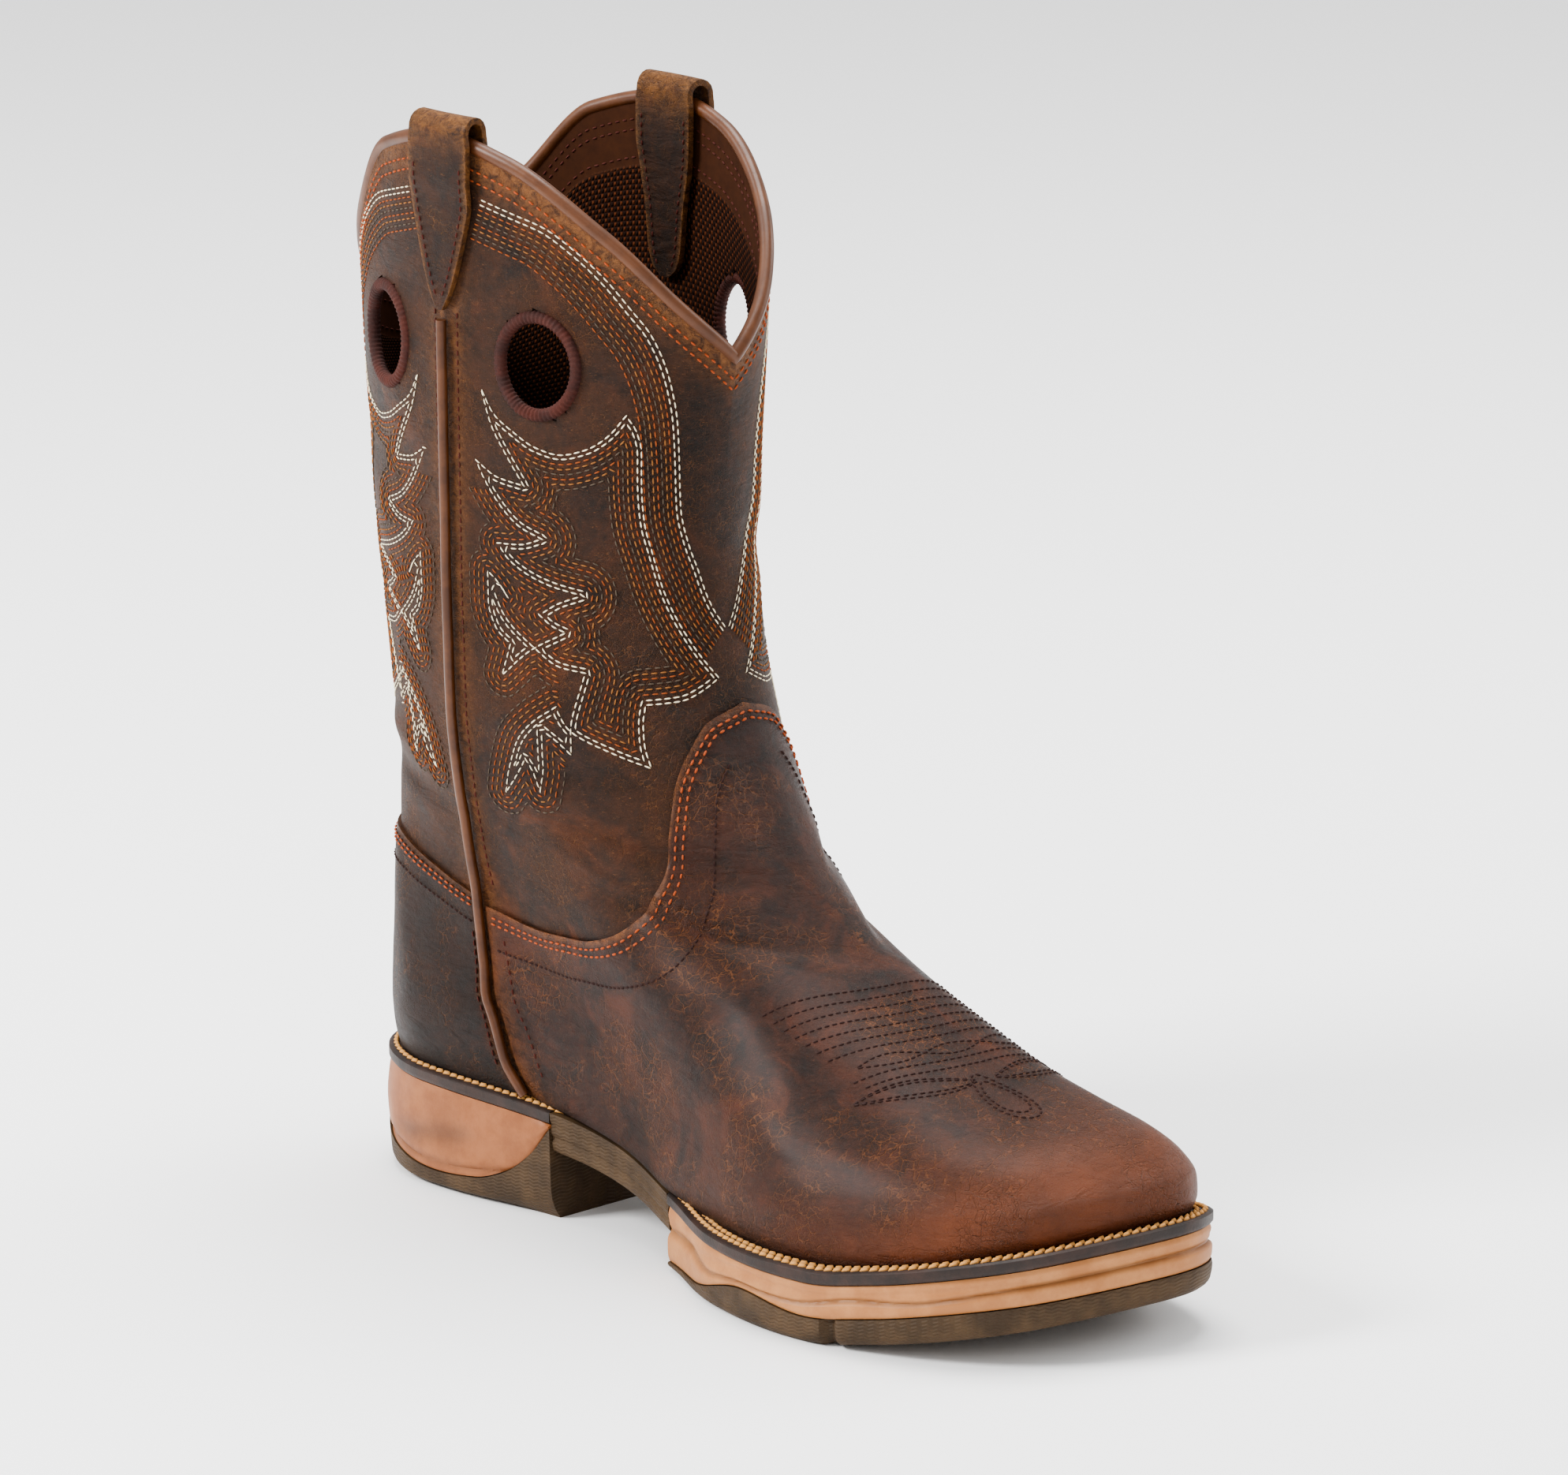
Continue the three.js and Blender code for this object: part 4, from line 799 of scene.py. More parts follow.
def tube(name: str, path: Array, outwards: Array, radius: Array | float, sides: int,
         closed: bool) -> bpy.types.Object:
    """A round tube along a path.

    Args:
        name: the piece's name.
        path: points along its middle.
        outwards: a direction away from the surface at each point.
        radius: its radius, one or one for each point.
        sides: corners of its section.
        closed: whether it runs round.

    Returns:
        The piece.
    """
    along = (np.roll(path, -1, axis=0) - np.roll(path, 1, axis=0)) if closed else np.gradient(path, axis=0)
    along /= np.linalg.norm(along, axis=1)[:, None]
    side = np.cross(along, outwards)
    side /= np.linalg.norm(side, axis=1)[:, None]
    up = np.cross(side, along)
    angle = np.linspace(0, 2 * np.pi, sides, endpoint=False)
    size = np.broadcast_to(radius, len(path))[:, None, None]
    ring = side[:, None] * np.cos(angle)[None, :, None] + up[:, None] * np.sin(angle)[None, :, None]
    points = (path[:, None] + ring * size).reshape(-1, 3)
    count = len(path) if closed else len(path) - 1
    faces = []
    for i in range(count):
        j = (i + 1) % len(path)
        for k in range(sides):
            m = (k + 1) % sides
            faces.append((i * sides + k, i * sides + m, j * sides + m, j * sides + k))
    if not closed:
        faces.append(tuple(range(sides))[::-1])
        faces.append(tuple(range((len(path) - 1) * sides, len(path) * sides)))
    piece = from_arrays(name, points, faces)
    close_and_face_out(piece)
    shade(piece, 1.0)
    return piece


@dataclass(frozen=True)
class Crease:
    """A soft trough, or a ridge where its depth is below zero, by turn and height."""

    start: tuple[float, float]
    end: tuple[float, float]
    width: float
    depth: float

    def press(self, turn: Array, height: Array) -> Array:
        """How deep it is at each place, in millimetres; a turn of 1 counts as 100 mm."""
        a = np.array([self.start[0] * 100, self.start[1]])
        b = np.array([self.end[0] * 100, self.end[1]])
        place = np.stack([turn * 100, height], axis=-1)
        along = np.clip(((place - a) @ (b - a)) / ((b - a) @ (b - a)), 0, 1)
        gap = np.linalg.norm(place - (a + along[..., None] * (b - a)), axis=-1)
        taper = np.sin(np.pi * np.clip(along * 0.86 + 0.07, 0, 1))
        return self.depth * taper * np.exp(-(gap / self.width) ** 2)


CREASES = (
    Crease((0.62, 128.0), (0.93, 112.0), 3.8, 2.2),
    Crease((0.60, 118.0), (0.88, 99.0), 3.8, -1.5),
    Crease((0.66, 108.0), (0.97, 92.0), 3.4, 1.9),
    Crease((0.55, 142.0), (0.86, 137.0), 4.2, 1.5),
    Crease((0.50, 152.0), (0.78, 158.0), 5.1, -1.4),
    Crease((1.07, 112.0), (1.38, 128.0), 3.8, 2.2),
    Crease((1.12, 99.0), (1.40, 118.0), 3.8, -1.5),
    Crease((1.03, 92.0), (1.34, 108.0), 3.4, 1.9),
    Crease((0.14, 128.0), (0.38, 121.0), 4.2, 1.7),
    Crease((0.12, 140.0), (0.36, 136.0), 4.7, -1.4),
    Crease((1.62, 121.0), (1.86, 128.0), 4.2, 1.7),
    Crease((0.58, 62.0), (0.74, 84.0), 4.2, 1.5),
    Crease((0.64, 50.0), (0.80, 72.0), 4.2, -1.2),
    Crease((0.70, 54.0), (0.86, 78.0), 3.4, 1.2),
    Crease((1.22, 84.0), (1.40, 58.0), 4.2, 1.7),
    Crease((0.72, 205.0), (0.95, 190.0), 7.6, 1.5),
    Crease((1.05, 214.0), (1.30, 196.0), 7.6, 1.5),
    Crease((0.20, 236.0), (0.42, 214.0), 8.5, 1.4),
)


def pressed(turn: Array, height: Array) -> Array:
    """Sum of all the creases at each place, deeper being larger."""
    return sum(crease.press(np.mod(turn, 2.0), height) for crease in CREASES)


CHART = 95.0


class Surface:
    """The upper's outer face with a flat chart for each quarter, and the creases pressed in."""

    def __init__(self, form: UpperForm) -> None:
        """Keep the form that lies under the chart."""
        self.form = form

    def turn_of(self, side: Side, a: Array, height: Array) -> Array:
        """Turn of a chart place.

        Args:
            side: outer or inner side.
            a: distance from the side seam on the chart, forwards or, below zero, backwards.
            height: height in millimetres.

        Returns:
            The turns.
        """
        seam = self.form.seam_share(side.value, height)
        share = np.where(a >= 0, seam + a / CHART * (1 - seam), seam + a / CHART * seam)
        return self.form.turn(side.value, share)

    def on(self, turn: Array, ring: Array, out: Array | float) -> tuple[Array, Array]:
        """Points at a distance out of the creased face, and the directions outwards there."""
        base = self.form.point(turn, ring)
        normal = self.form.normal(turn, ring)
        lift = np.asarray(out) - pressed(np.asarray(turn), base[..., 2])
        return base + normal * lift[..., None], normal

    def chart(self, side: Side, a: Array, height: Array, out: float) -> tuple[Array, Array]:
        """Points and directions outwards at chart places."""
        turn = self.turn_of(side, a, height)
        return self.on(turn, self.form.ring_at(turn, height), out)

    def over(self, x: Array, y: Array, out: float) -> tuple[Array, Array]:
        """Points and directions outwards over plan places on the top of the foot."""
        turn = 1.0 + np.clip(y / 55.0, -0.6, 0.6) * 0.5
        ring = np.interp(-x, [-300, -250, -200, -150], [2.0, 5.9, 8.3, 11.2])
        for _ in range(14):
            here = self.form.point(turn, ring)
            by_turn = (self.form.point(turn + 0.004, ring) - here) / 0.004
            by_ring = (self.form.point(turn, ring + 0.02) - here) / 0.02
            miss_x, miss_y = x - here[..., 0], y - here[..., 1]
            det = by_turn[..., 0] * by_ring[..., 1] - by_turn[..., 1] * by_ring[..., 0]
            det = np.where(np.abs(det) < 1e-6, 1e-6, det)
            turn = turn + np.clip((miss_x * by_ring[..., 1] - miss_y * by_ring[..., 0]) / det, -0.08, 0.08)
            climb = (by_turn[..., 0] * miss_y - by_turn[..., 1] * miss_x) / det
            ring = np.clip(ring + np.clip(climb, -0.8, 0.8), 1.0, 13.0)
        return self.on(turn, ring, out)


@dataclass
class Stitching:
    """Rows of separate stitches of one thread, joined in one mesh."""

    name: str
    thread: Thread
    pitch: float = 2.7
    length: float = 2.1
    radius: float = 0.36
    skew: float = 0.0
    points: list[Array] = field(default_factory=list)
    count: int = 0

    def row(self, path: Array, normals: Array) -> None:
        """Add one row of stitches.

        Args:
            path: points along the row.
            normals: directions outwards there.
        """
        steps = np.linalg.norm(np.diff(path, axis=0), axis=1)
        run = np.concatenate([[0.0], np.cumsum(steps)])
        number = int(run[-1] / self.pitch)
        if number < 1:
            return
        middle = (np.arange(number) + 0.5) * run[-1] / number
        at = np.stack([np.interp(middle, run, path[:, k]) for k in range(3)], axis=1)
        ahead = np.stack([np.interp(middle + 0.4, run, path[:, k]) for k in range(3)], axis=1)
        behind = np.stack([np.interp(middle - 0.4, run, path[:, k]) for k in range(3)], axis=1)
        up = np.stack([np.interp(middle, run, normals[:, k]) for k in range(3)], axis=1)
        up /= np.linalg.norm(up, axis=1)[:, None]
        along = ahead - behind
        along /= np.maximum(np.linalg.norm(along, axis=1), 1e-9)[:, None]
        side = np.cross(up, along)
        along = along * np.cos(self.skew) + side * np.sin(self.skew)
        side = np.cross(up, along)
        half = self.length / 2
        r = self.radius
        rings = [at - along * half - up * r * 0.9]
        for shift in (-0.45, 0.45):
            for a, b in ((1, 0), (0, 1), (-1, 0), (0, -1)):
                rings.append(at + along * half * shift + side * r * a + up * r * b)
        rings.append(at + along * half - up * r * 0.9)
        self.points.append(np.stack(rings, axis=1).reshape(-1, 3))
        self.count += number

    def build(self, finishes: Finishes, slot: str) -> None:
        """Join the rows and dress them."""
        if not self.count:
            return
        pattern = [(0, 2, 1), (0, 3, 2), (0, 4, 3), (0, 1, 4)]
        pattern += [(1, 2, 6, 5), (2, 3, 7, 6), (3, 4, 8, 7), (4, 1, 5, 8)]
        pattern += [(9, 5, 6), (9, 6, 7), (9, 7, 8), (9, 8, 5)]
        faces = [tuple(i * 10 + k for k in face) for i in range(self.count) for face in pattern]
        piece = from_arrays(self.name, np.concatenate(self.points), faces)
        close_and_face_out(piece, 1e-8)
        shade(piece, 3.0)
        dress(piece, [finishes.threads[self.thread]], slot)


def shifted(line: Array, distance: float) -> Array:
    """A flat open line moved to its left by a distance."""
    along = np.gradient(line, axis=0)
    along /= np.maximum(np.linalg.norm(along, axis=1), 1e-9)[:, None]
    return line + np.stack([-along[:, 1], along[:, 0]], axis=1) * distance


def flowing(corners: Sequence[tuple[float, float]], step: float = 1.0) -> Array:
    """A smooth open line through a few corners, at even steps."""
    points = np.array(corners, float)
    run = np.concatenate([[0.0], np.cumsum(np.linalg.norm(np.diff(points, axis=0), axis=1))])
    tables = [SmoothTable(list(zip(run.tolist(), points[:, k].tolist()))) for k in (0, 1)]
    fine = np.linspace(0, run[-1], max(3, int(run[-1] / 0.5)))
    line = np.stack([table(fine) for table in tables], axis=1)
    return resample(line, max(3, int(run[-1] / step)))


# The shaft's stitching, drawn on the chart of one quarter: distance from the seam and height.
BAND = ((12, 311), (22, 308), (31, 305), (40, 299), (49, 291), (57, 282), (63, 275), (68, 266), (71, 258),
        (73.5, 248), (75, 235), (76, 221), (79, 211), (83.5, 202), (89, 191), (94.5, 184))
# The wing's outline, feather by feather; each row runs from one point of a feather to the next.
WING = (
    ((12, 254), (16, 247), (22, 242.5), (29, 238.5), (36, 237), (44, 239), (51, 243.5), (56.5, 250)),
    ((56.5, 250), (60, 245), (61.7, 239), (62, 228), (63, 218), (66, 208), (70, 197), (75, 187), (81, 178),
     (88, 170)),
    ((88, 170), (81, 167), (73, 164.5), (61, 163.5)),
    ((61, 163.5), (59.5, 158), (59, 152), (60, 145.5)),
    ((60, 145.5), (50, 149), (38.5, 154.5), (34, 161)),
    ((34, 161), (27.5, 156), (21.5, 149), (17.5, 140), (15.5, 132)),
    ((15.5, 132), (19, 137), (23, 144)),
    ((23, 144), (25, 140), (27, 135)),
    ((27, 135), (28.5, 144), (30, 154)),
    ((30, 154), (34, 151), (37.5, 147.5)),
    ((37.5, 147.5), (39, 158), (43.5, 172)),
    ((43.5, 172), (36, 173), (28, 178), (19, 186), (15, 194)),
    ((15, 194), (17, 195.5), (20, 192)),
    ((20, 192), (17, 196), (13.5, 199)),
    ((13.5, 199), (13.5, 190), (16, 182), (20.5, 178)),
    ((20.5, 178), (19, 173), (17.5, 168)),
    ((17.5, 168), (27, 177), (38, 183.5)),
    ((38, 183.5), (34, 185), (30, 188)),
    ((30, 188), (36, 192), (43.5, 195)),
    ((43.5, 195), (34, 197), (26, 200), (20, 204), (17, 208)),
    ((17, 208), (24, 208.5), (31, 211)),
    ((31, 211), (24, 214), (17.5, 220), (12, 228), (10, 232)),
    ((10, 232), (17, 228), (25.5, 226.5)),
    ((25.5, 226.5), (20, 235), (15, 244), (12, 254)),
)


def nearest(places: Array, line: Array) -> Array:
    """Distance from each place to a closed flat line."""
    a, b = line, np.roll(line, -1, axis=0)
    best = np.full(len(places), 1e9)
    for p, q in zip(a, b):
        d = q - p
        t = np.clip((places - p) @ d / max(d @ d, 1e-9), 0, 1)
        best = np.minimum(best, np.linalg.norm(places - (p + t[:, None] * d), axis=1))
    return best


def inside(places: Array, line: Array) -> Array:
    """Whether each place lies inside a closed flat line."""
    odd = np.zeros(len(places), bool)
    for p, q in zip(line, np.roll(line, -1, axis=0)):
        crosses = (p[1] > places[:, 1]) != (q[1] > places[:, 1])
        with np.errstate(divide="ignore", invalid="ignore"):
            x = p[0] + (places[:, 1] - p[1]) / (q[1] - p[1]) * (q[0] - p[0])
        odd ^= crosses & (places[:, 0] < x)
    return odd


def contours(xs: Array, ys: Array, values: Array, level: float) -> list[Array]:
    """Lines of one level over a grid of values.

    Args:
        xs: places of the columns.
        ys: places of the rows.
        values: one for each column and row.
        level: the level to follow.

    Returns:
        Open or closed flat lines.
    """
    links: dict[tuple[int, int, int], list[tuple[int, int, int]]] = {}
    place: dict[tuple[int, int, int], tuple[float, float]] = {}
    above = values > level
    mixed = above[:-1, :-1].astype(int) + above[1:, :-1] + above[:-1, 1:] + above[1:, 1:]
    for i, j in np.argwhere((mixed > 0) & (mixed < 4)):
        hits = []
        for axis, p, q in ((0, i, j), (1, i + 1, j), (0, i, j + 1), (1, i, j)):
            end = (p + 1, q) if axis == 0 else (p, q + 1)
            u, v = values[p, q], values[end]
            if (u > level) != (v > level):
                s = (level - u) / (v - u)
                x = xs[p] + s * (xs[end[0]] - xs[p])
                y = ys[q] + s * (ys[end[1]] - ys[q])
                key = (axis, int(p), int(q))
                place[key] = (x, y)
                hits.append(key)
        for a, b in zip(hits[::2], hits[1::2]):
            links.setdefault(a, []).append(b)
            links.setdefault(b, []).append(a)
    lines = []
    seen: set[tuple[int, int, int]] = set()
    starts = [key for key, ends in links.items() if len(ends) == 1] + list(links)
    for start in starts:
        if start in seen:
            continue
        chain = [start]
        seen.add(start)
        while True:
            ahead = [key for key in links[chain[-1]] if key not in seen]
            if not ahead:
                break
            chain.append(ahead[0])
            seen.add(ahead[0])
        if len(chain) > 5:
            lines.append(np.array([place[key] for key in chain]))
    return lines


class ShaftStitching:
    """Fancy stitching of the shaft: a band under the collar and a feathered wing, on each quarter."""

    def __init__(self, surface: Surface) -> None:
        """Draw the outlines and the rows between them.

        Args:
            surface: what the stitches lie on.
        """
        self.surface = surface
        self.threads = {thread: Stitching("shaft_stitches_" + thread.name.lower(), thread, 2.7, 2.35,
                                          0.23 if thread is Thread.CREAM else 0.24)
                        for thread in (Thread.CREAM, Thread.RUST, Thread.OCHRE, Thread.GREY)}
        self.wing = np.concatenate([flowing(row, 1.0)[:-1] for row in WING])

    def lines(self) -> list[tuple[Thread, Array]]:
        """All rows on the chart, each with its thread."""
        rows: list[tuple[Thread, Array]] = []
        band = flowing(BAND, 1.5)
        colours = (Thread.CREAM, Thread.CREAM, Thread.RUST, Thread.OCHRE, Thread.GREY, Thread.RUST,
                   Thread.OCHRE, Thread.GREY, Thread.RUST)
        for k, colour in enumerate(colours):
            moved = shifted(band, -(0.2 + 1.55 * k))
            rows.append((colour, moved[moved[:, 0] < 95.2]))
        xs = np.arange(3.0, 96.0, 0.75)
        ys = np.arange(118.0, 262.0, 0.75)
        grid = np.stack(np.meshgrid(xs, ys, indexing="ij"), axis=-1).reshape(-1, 2)
        depth = nearest(grid, self.wing) * np.where(inside(grid, self.wing), 1.0, -1.0)
        values = depth.reshape(len(xs), len(ys))
        inner = (Thread.RUST, Thread.OCHRE, Thread.GREY, Thread.RUST, Thread.OCHRE, Thread.GREY)
        rows.append((Thread.CREAM, np.concatenate([self.wing, self.wing[:1]])))
        for line in contours(xs, ys, values, 1.3):
            rows.append((Thread.CREAM, line))
        for k, colour in enumerate(inner):
            for line in contours(xs, ys, values, 2.9 + 1.5 * k):
                rows.append((colour, line))
        for k, colour in enumerate((Thread.RUST, Thread.OCHRE, Thread.RUST, Thread.GREY)):
            for line in contours(xs, ys, values, -(1.5 + 1.6 * k)):
                keep = (line[:, 0] > 6.0) & (line[:, 0] < 36.0) & (line[:, 1] < 224.0) & (line[:, 1] > 124.0)
                rows.extend((colour, part) for part in self.runs(line, keep))
        return rows

    @staticmethod
    def runs(line: Array, keep: Array) -> list[Array]:
        """The unbroken stretches of a line where keep holds."""
        edges = np.flatnonzero(np.diff(keep.astype(int))) + 1
        parts = np.split(np.arange(len(line)), edges)
        return [line[part] for part in parts if keep[part[0]] and len(part) > 6]

    def build(self, finishes: Finishes) -> None:
        """Sew the rows on all four quarters."""
        rows = self.lines()
        for side in Side:
            for way in (1, -1):
                for thread, line in rows:
                    path, normals = self.surface.chart(side, way * line[:, 0], line[:, 1], 0.12)
                    self.threads[thread].row(path, normals)
        for stitching in self.threads.values():
            stitching.build(finishes, "shaft_leather")


@dataclass
class Shaft:
    """The upper's hollow wall with its lining, pull holes, bound collar and side piping."""

    surface: Surface
    columns: int = 250
    rows: int = 150
    fine_from: float = 8.5

    def ring_of(self, v: Array) -> Array:
        """Ring for a share up the grid: few rows under the overlays and many above them."""
        low = 0.24
        return np.where(v < low, v / low * self.fine_from,
                        self.fine_from + (v - low) / (1 - low) * (LAST_RING - self.fine_from))

    def holes(self) -> list[tuple[str, float]]:
        """Name and turn of each pull hole."""
        return [(f"{side.name.lower()}_{end}", float(self.surface.form.turn(side.value, share)))
                for side in Side for end, share in (("back", 0.352), ("front", 0.655))]

    def wall(self, finishes: Finishes) -> None:
        """Lay the wall, cut the holes and give it its thickness."""
        form = self.surface.form

        def place(u: Array, v: Array) -> Array:
            """Point of the outer face."""
            ring = self.ring_of(v)
            cover = smooth(ring, 6.0, 9.0)
            base = form.point(2 * u, ring)
            lift = -pressed(2 * u, base[..., 2]) * np.maximum(cover, 0.6)
            return base + form.normal(2 * u, ring) * (lift - 0.02)[..., None]

        piece = sheet_piece("shaft_wall", self.columns, self.rows, place)
        shares = np.empty(len(piece.data.vertices) * 3)
        piece.data.vertices.foreach_get("co", shares)
        points = shares.reshape(-1, 3) / MM - HEEL_BACK
        count = self.columns + 1
        turn = np.tile(np.linspace(0, 2, count), self.rows + 1)
        top = form.point(turn, np.full(len(turn), LAST_RING))[..., 2]
        edge = top - points[:, 2]
        put_field(piece, "edge", edge)
        near_seam = np.zeros(len(points))
        height = points[:, 2]
        lap = np.mod(turn, 2.0)
        for side in Side:
            seam = form.turn(side.value, form.seam_share(side.value, height))
            near_seam = np.maximum(near_seam, np.exp(-(np.abs(lap - seam) * 105 / 3.2) ** 2))
        put_field(piece, "rub", np.maximum(np.exp(-(edge / 9.0) ** 2), near_seam * 0.7))
        put_field(piece, "shade", np.exp(-((edge - 9.5) / 1.2) ** 2) * 0.25)
        dead = np.zeros(len(points), bool)
        for _, hole in self.holes():
            centre = form.point(hole, form.ring_at(hole, form.sizes.hole_level))
            out = form.normal(hole, form.ring_at(hole, form.sizes.hole_level))
            side = np.cross([0, 0, 1.0], out)
            side /= np.linalg.norm(side)
            up = np.cross(out, side)
            away = points - centre
            a = away @ side / (form.sizes.hole_width / 2 + 0.9)
            b = away @ up / (form.sizes.hole_height / 2 + 0.9)
            dead |= (a * a + b * b < 1) & (np.abs(away @ out) < 12)
        bpy.ops.object.select_all(action="DESELECT")
        piece.select_set(True)
        bpy.context.view_layer.objects.active = piece
        piece.data.vertices.foreach_set("select", dead)
        piece.data.edges.foreach_set("select", np.zeros(len(piece.data.edges), bool))
        ends = np.empty(len(piece.data.loops), np.int32)
        piece.data.loops.foreach_get("vertex_index", ends)
        piece.data.polygons.foreach_set("select", dead[ends.reshape(-1, 4)].any(axis=1))
        bpy.ops.object.mode_set(mode="EDIT")
        bpy.ops.mesh.select_mode(type="FACE")
        bpy.ops.mesh.delete(type="FACE")
        bpy.ops.mesh.select_mode(type="VERT")
        bpy.ops.mesh.select_all(action="SELECT")
        bpy.ops.mesh.delete_loose()
        bpy.ops.mesh.select_all(action="SELECT")
        bpy.ops.mesh.remove_doubles(threshold=2e-6)
        bpy.ops.mesh.normals_make_consistent(inside=False)
        bpy.ops.object.mode_set(mode="OBJECT")
        piece.data.materials.append(finishes.shaft)
        piece.data.materials.append(finishes.lining)
        apply_modifier(piece, "SOLIDIFY", thickness=form.sizes.wall * MM, offset=-1.0, use_even_offset=False,
                       material_offset=1, material_offset_rim=0)
        shade(piece, 0.9)
        dress(piece, [finishes.shaft, finishes.lining], "shaft_leather", ["upper"])

    def trims(self, finishes: Finishes) -> None:
        """Rings of thread, binding and piping."""
        form = self.surface.form
        sizes = form.sizes
        for name, hole in self.holes():
            ring = form.ring_at(hole, sizes.hole_level)
            centre, out = form.point(hole, ring), form.normal(hole, ring)
            side = np.cross([0, 0, 1.0], out)
            side /= np.linalg.norm(side)
            up = np.cross(out, side)
            angle = np.linspace(0, 2 * np.pi, 360, endpoint=False)
            reach = 1.75
            flat = (centre + side * (np.cos(angle) * (sizes.hole_width / 2 + reach))[:, None]
                    + up * (np.sin(angle) * (sizes.hole_height / 2 + reach))[:, None])
            bend = self.drop(flat, centre, out, side)
            path = flat + out * (bend - 0.6)[:, None]
            wraps = 1.95 + 0.13 * np.sin(60 * angle)
            piece = tube("pull_hole_rim_" + name, path, np.tile(out, (360, 1)), wraps, 12, True)
            dress(piece, [finishes.ring], "thread_ring", ["pull_hole_ring_" + name])
        turn = np.linspace(0, 2, 320, endpoint=False)
        edge = form.offset(turn, np.full(320, LAST_RING), -sizes.wall / 2)
        path = edge + np.array([0, 0, sizes.binding / 2 - 0.9])
        outwards = form.normal(turn, np.full(320, LAST_RING))
        piece = tube("collar_roll", path, outwards, sizes.binding / 2, 14, True)
        worn = np.repeat(0.3 + 0.3 * np.sin(np.arange(320) * 0.21) ** 2, 14)
        put_field(piece, "rub", worn[:len(piece.data.vertices)])
        dress(piece, [finishes.binding], "binding", ["collar_binding"])
        for side in Side:
            top = float(form.point(form.turn(side.value, 0.5), LAST_RING)[..., 2]) - sizes.strap_drop - 3.0
            height = np.linspace(cord_start(form), top, 90)
            turn = form.turn(side.value, form.seam_share(side.value, height))
            path, normals = self.surface.on(turn, form.ring_at(turn, height), sizes.piping / 2 + 0.45)
            piece = tube("side_cord_" + side.name.lower(), path, normals, sizes.piping / 2, 12, False)
            dress(piece, [finishes.binding], "binding", ["piping_" + side.name.lower()])

    def drop(self, flat: Array, centre: Array, out: Array, side: Array) -> Array:
        """How far the curved wall lies under the flat plane at each point of a rim."""
        form = self.surface.form
        turns = np.linspace(0, 2, 400)
        level = form.point(turns, form.ring_at(turns, np.full(400, centre[2])))
        facing = (level - centre) @ out > -25
        along = (level - centre) @ side
        below = (level - centre) @ out
        order = np.argsort(along[facing])
        return np.interp((flat - centre) @ side, along[facing][order], below[facing][order])


def cord_start(form: UpperForm) -> float:
    """Height at which the side cords start, just over the welt."""
    return float(form.welt_top(np.array(form.sizes.sole_length * 0.285))) + form.sizes.piping / 2 + 0.6


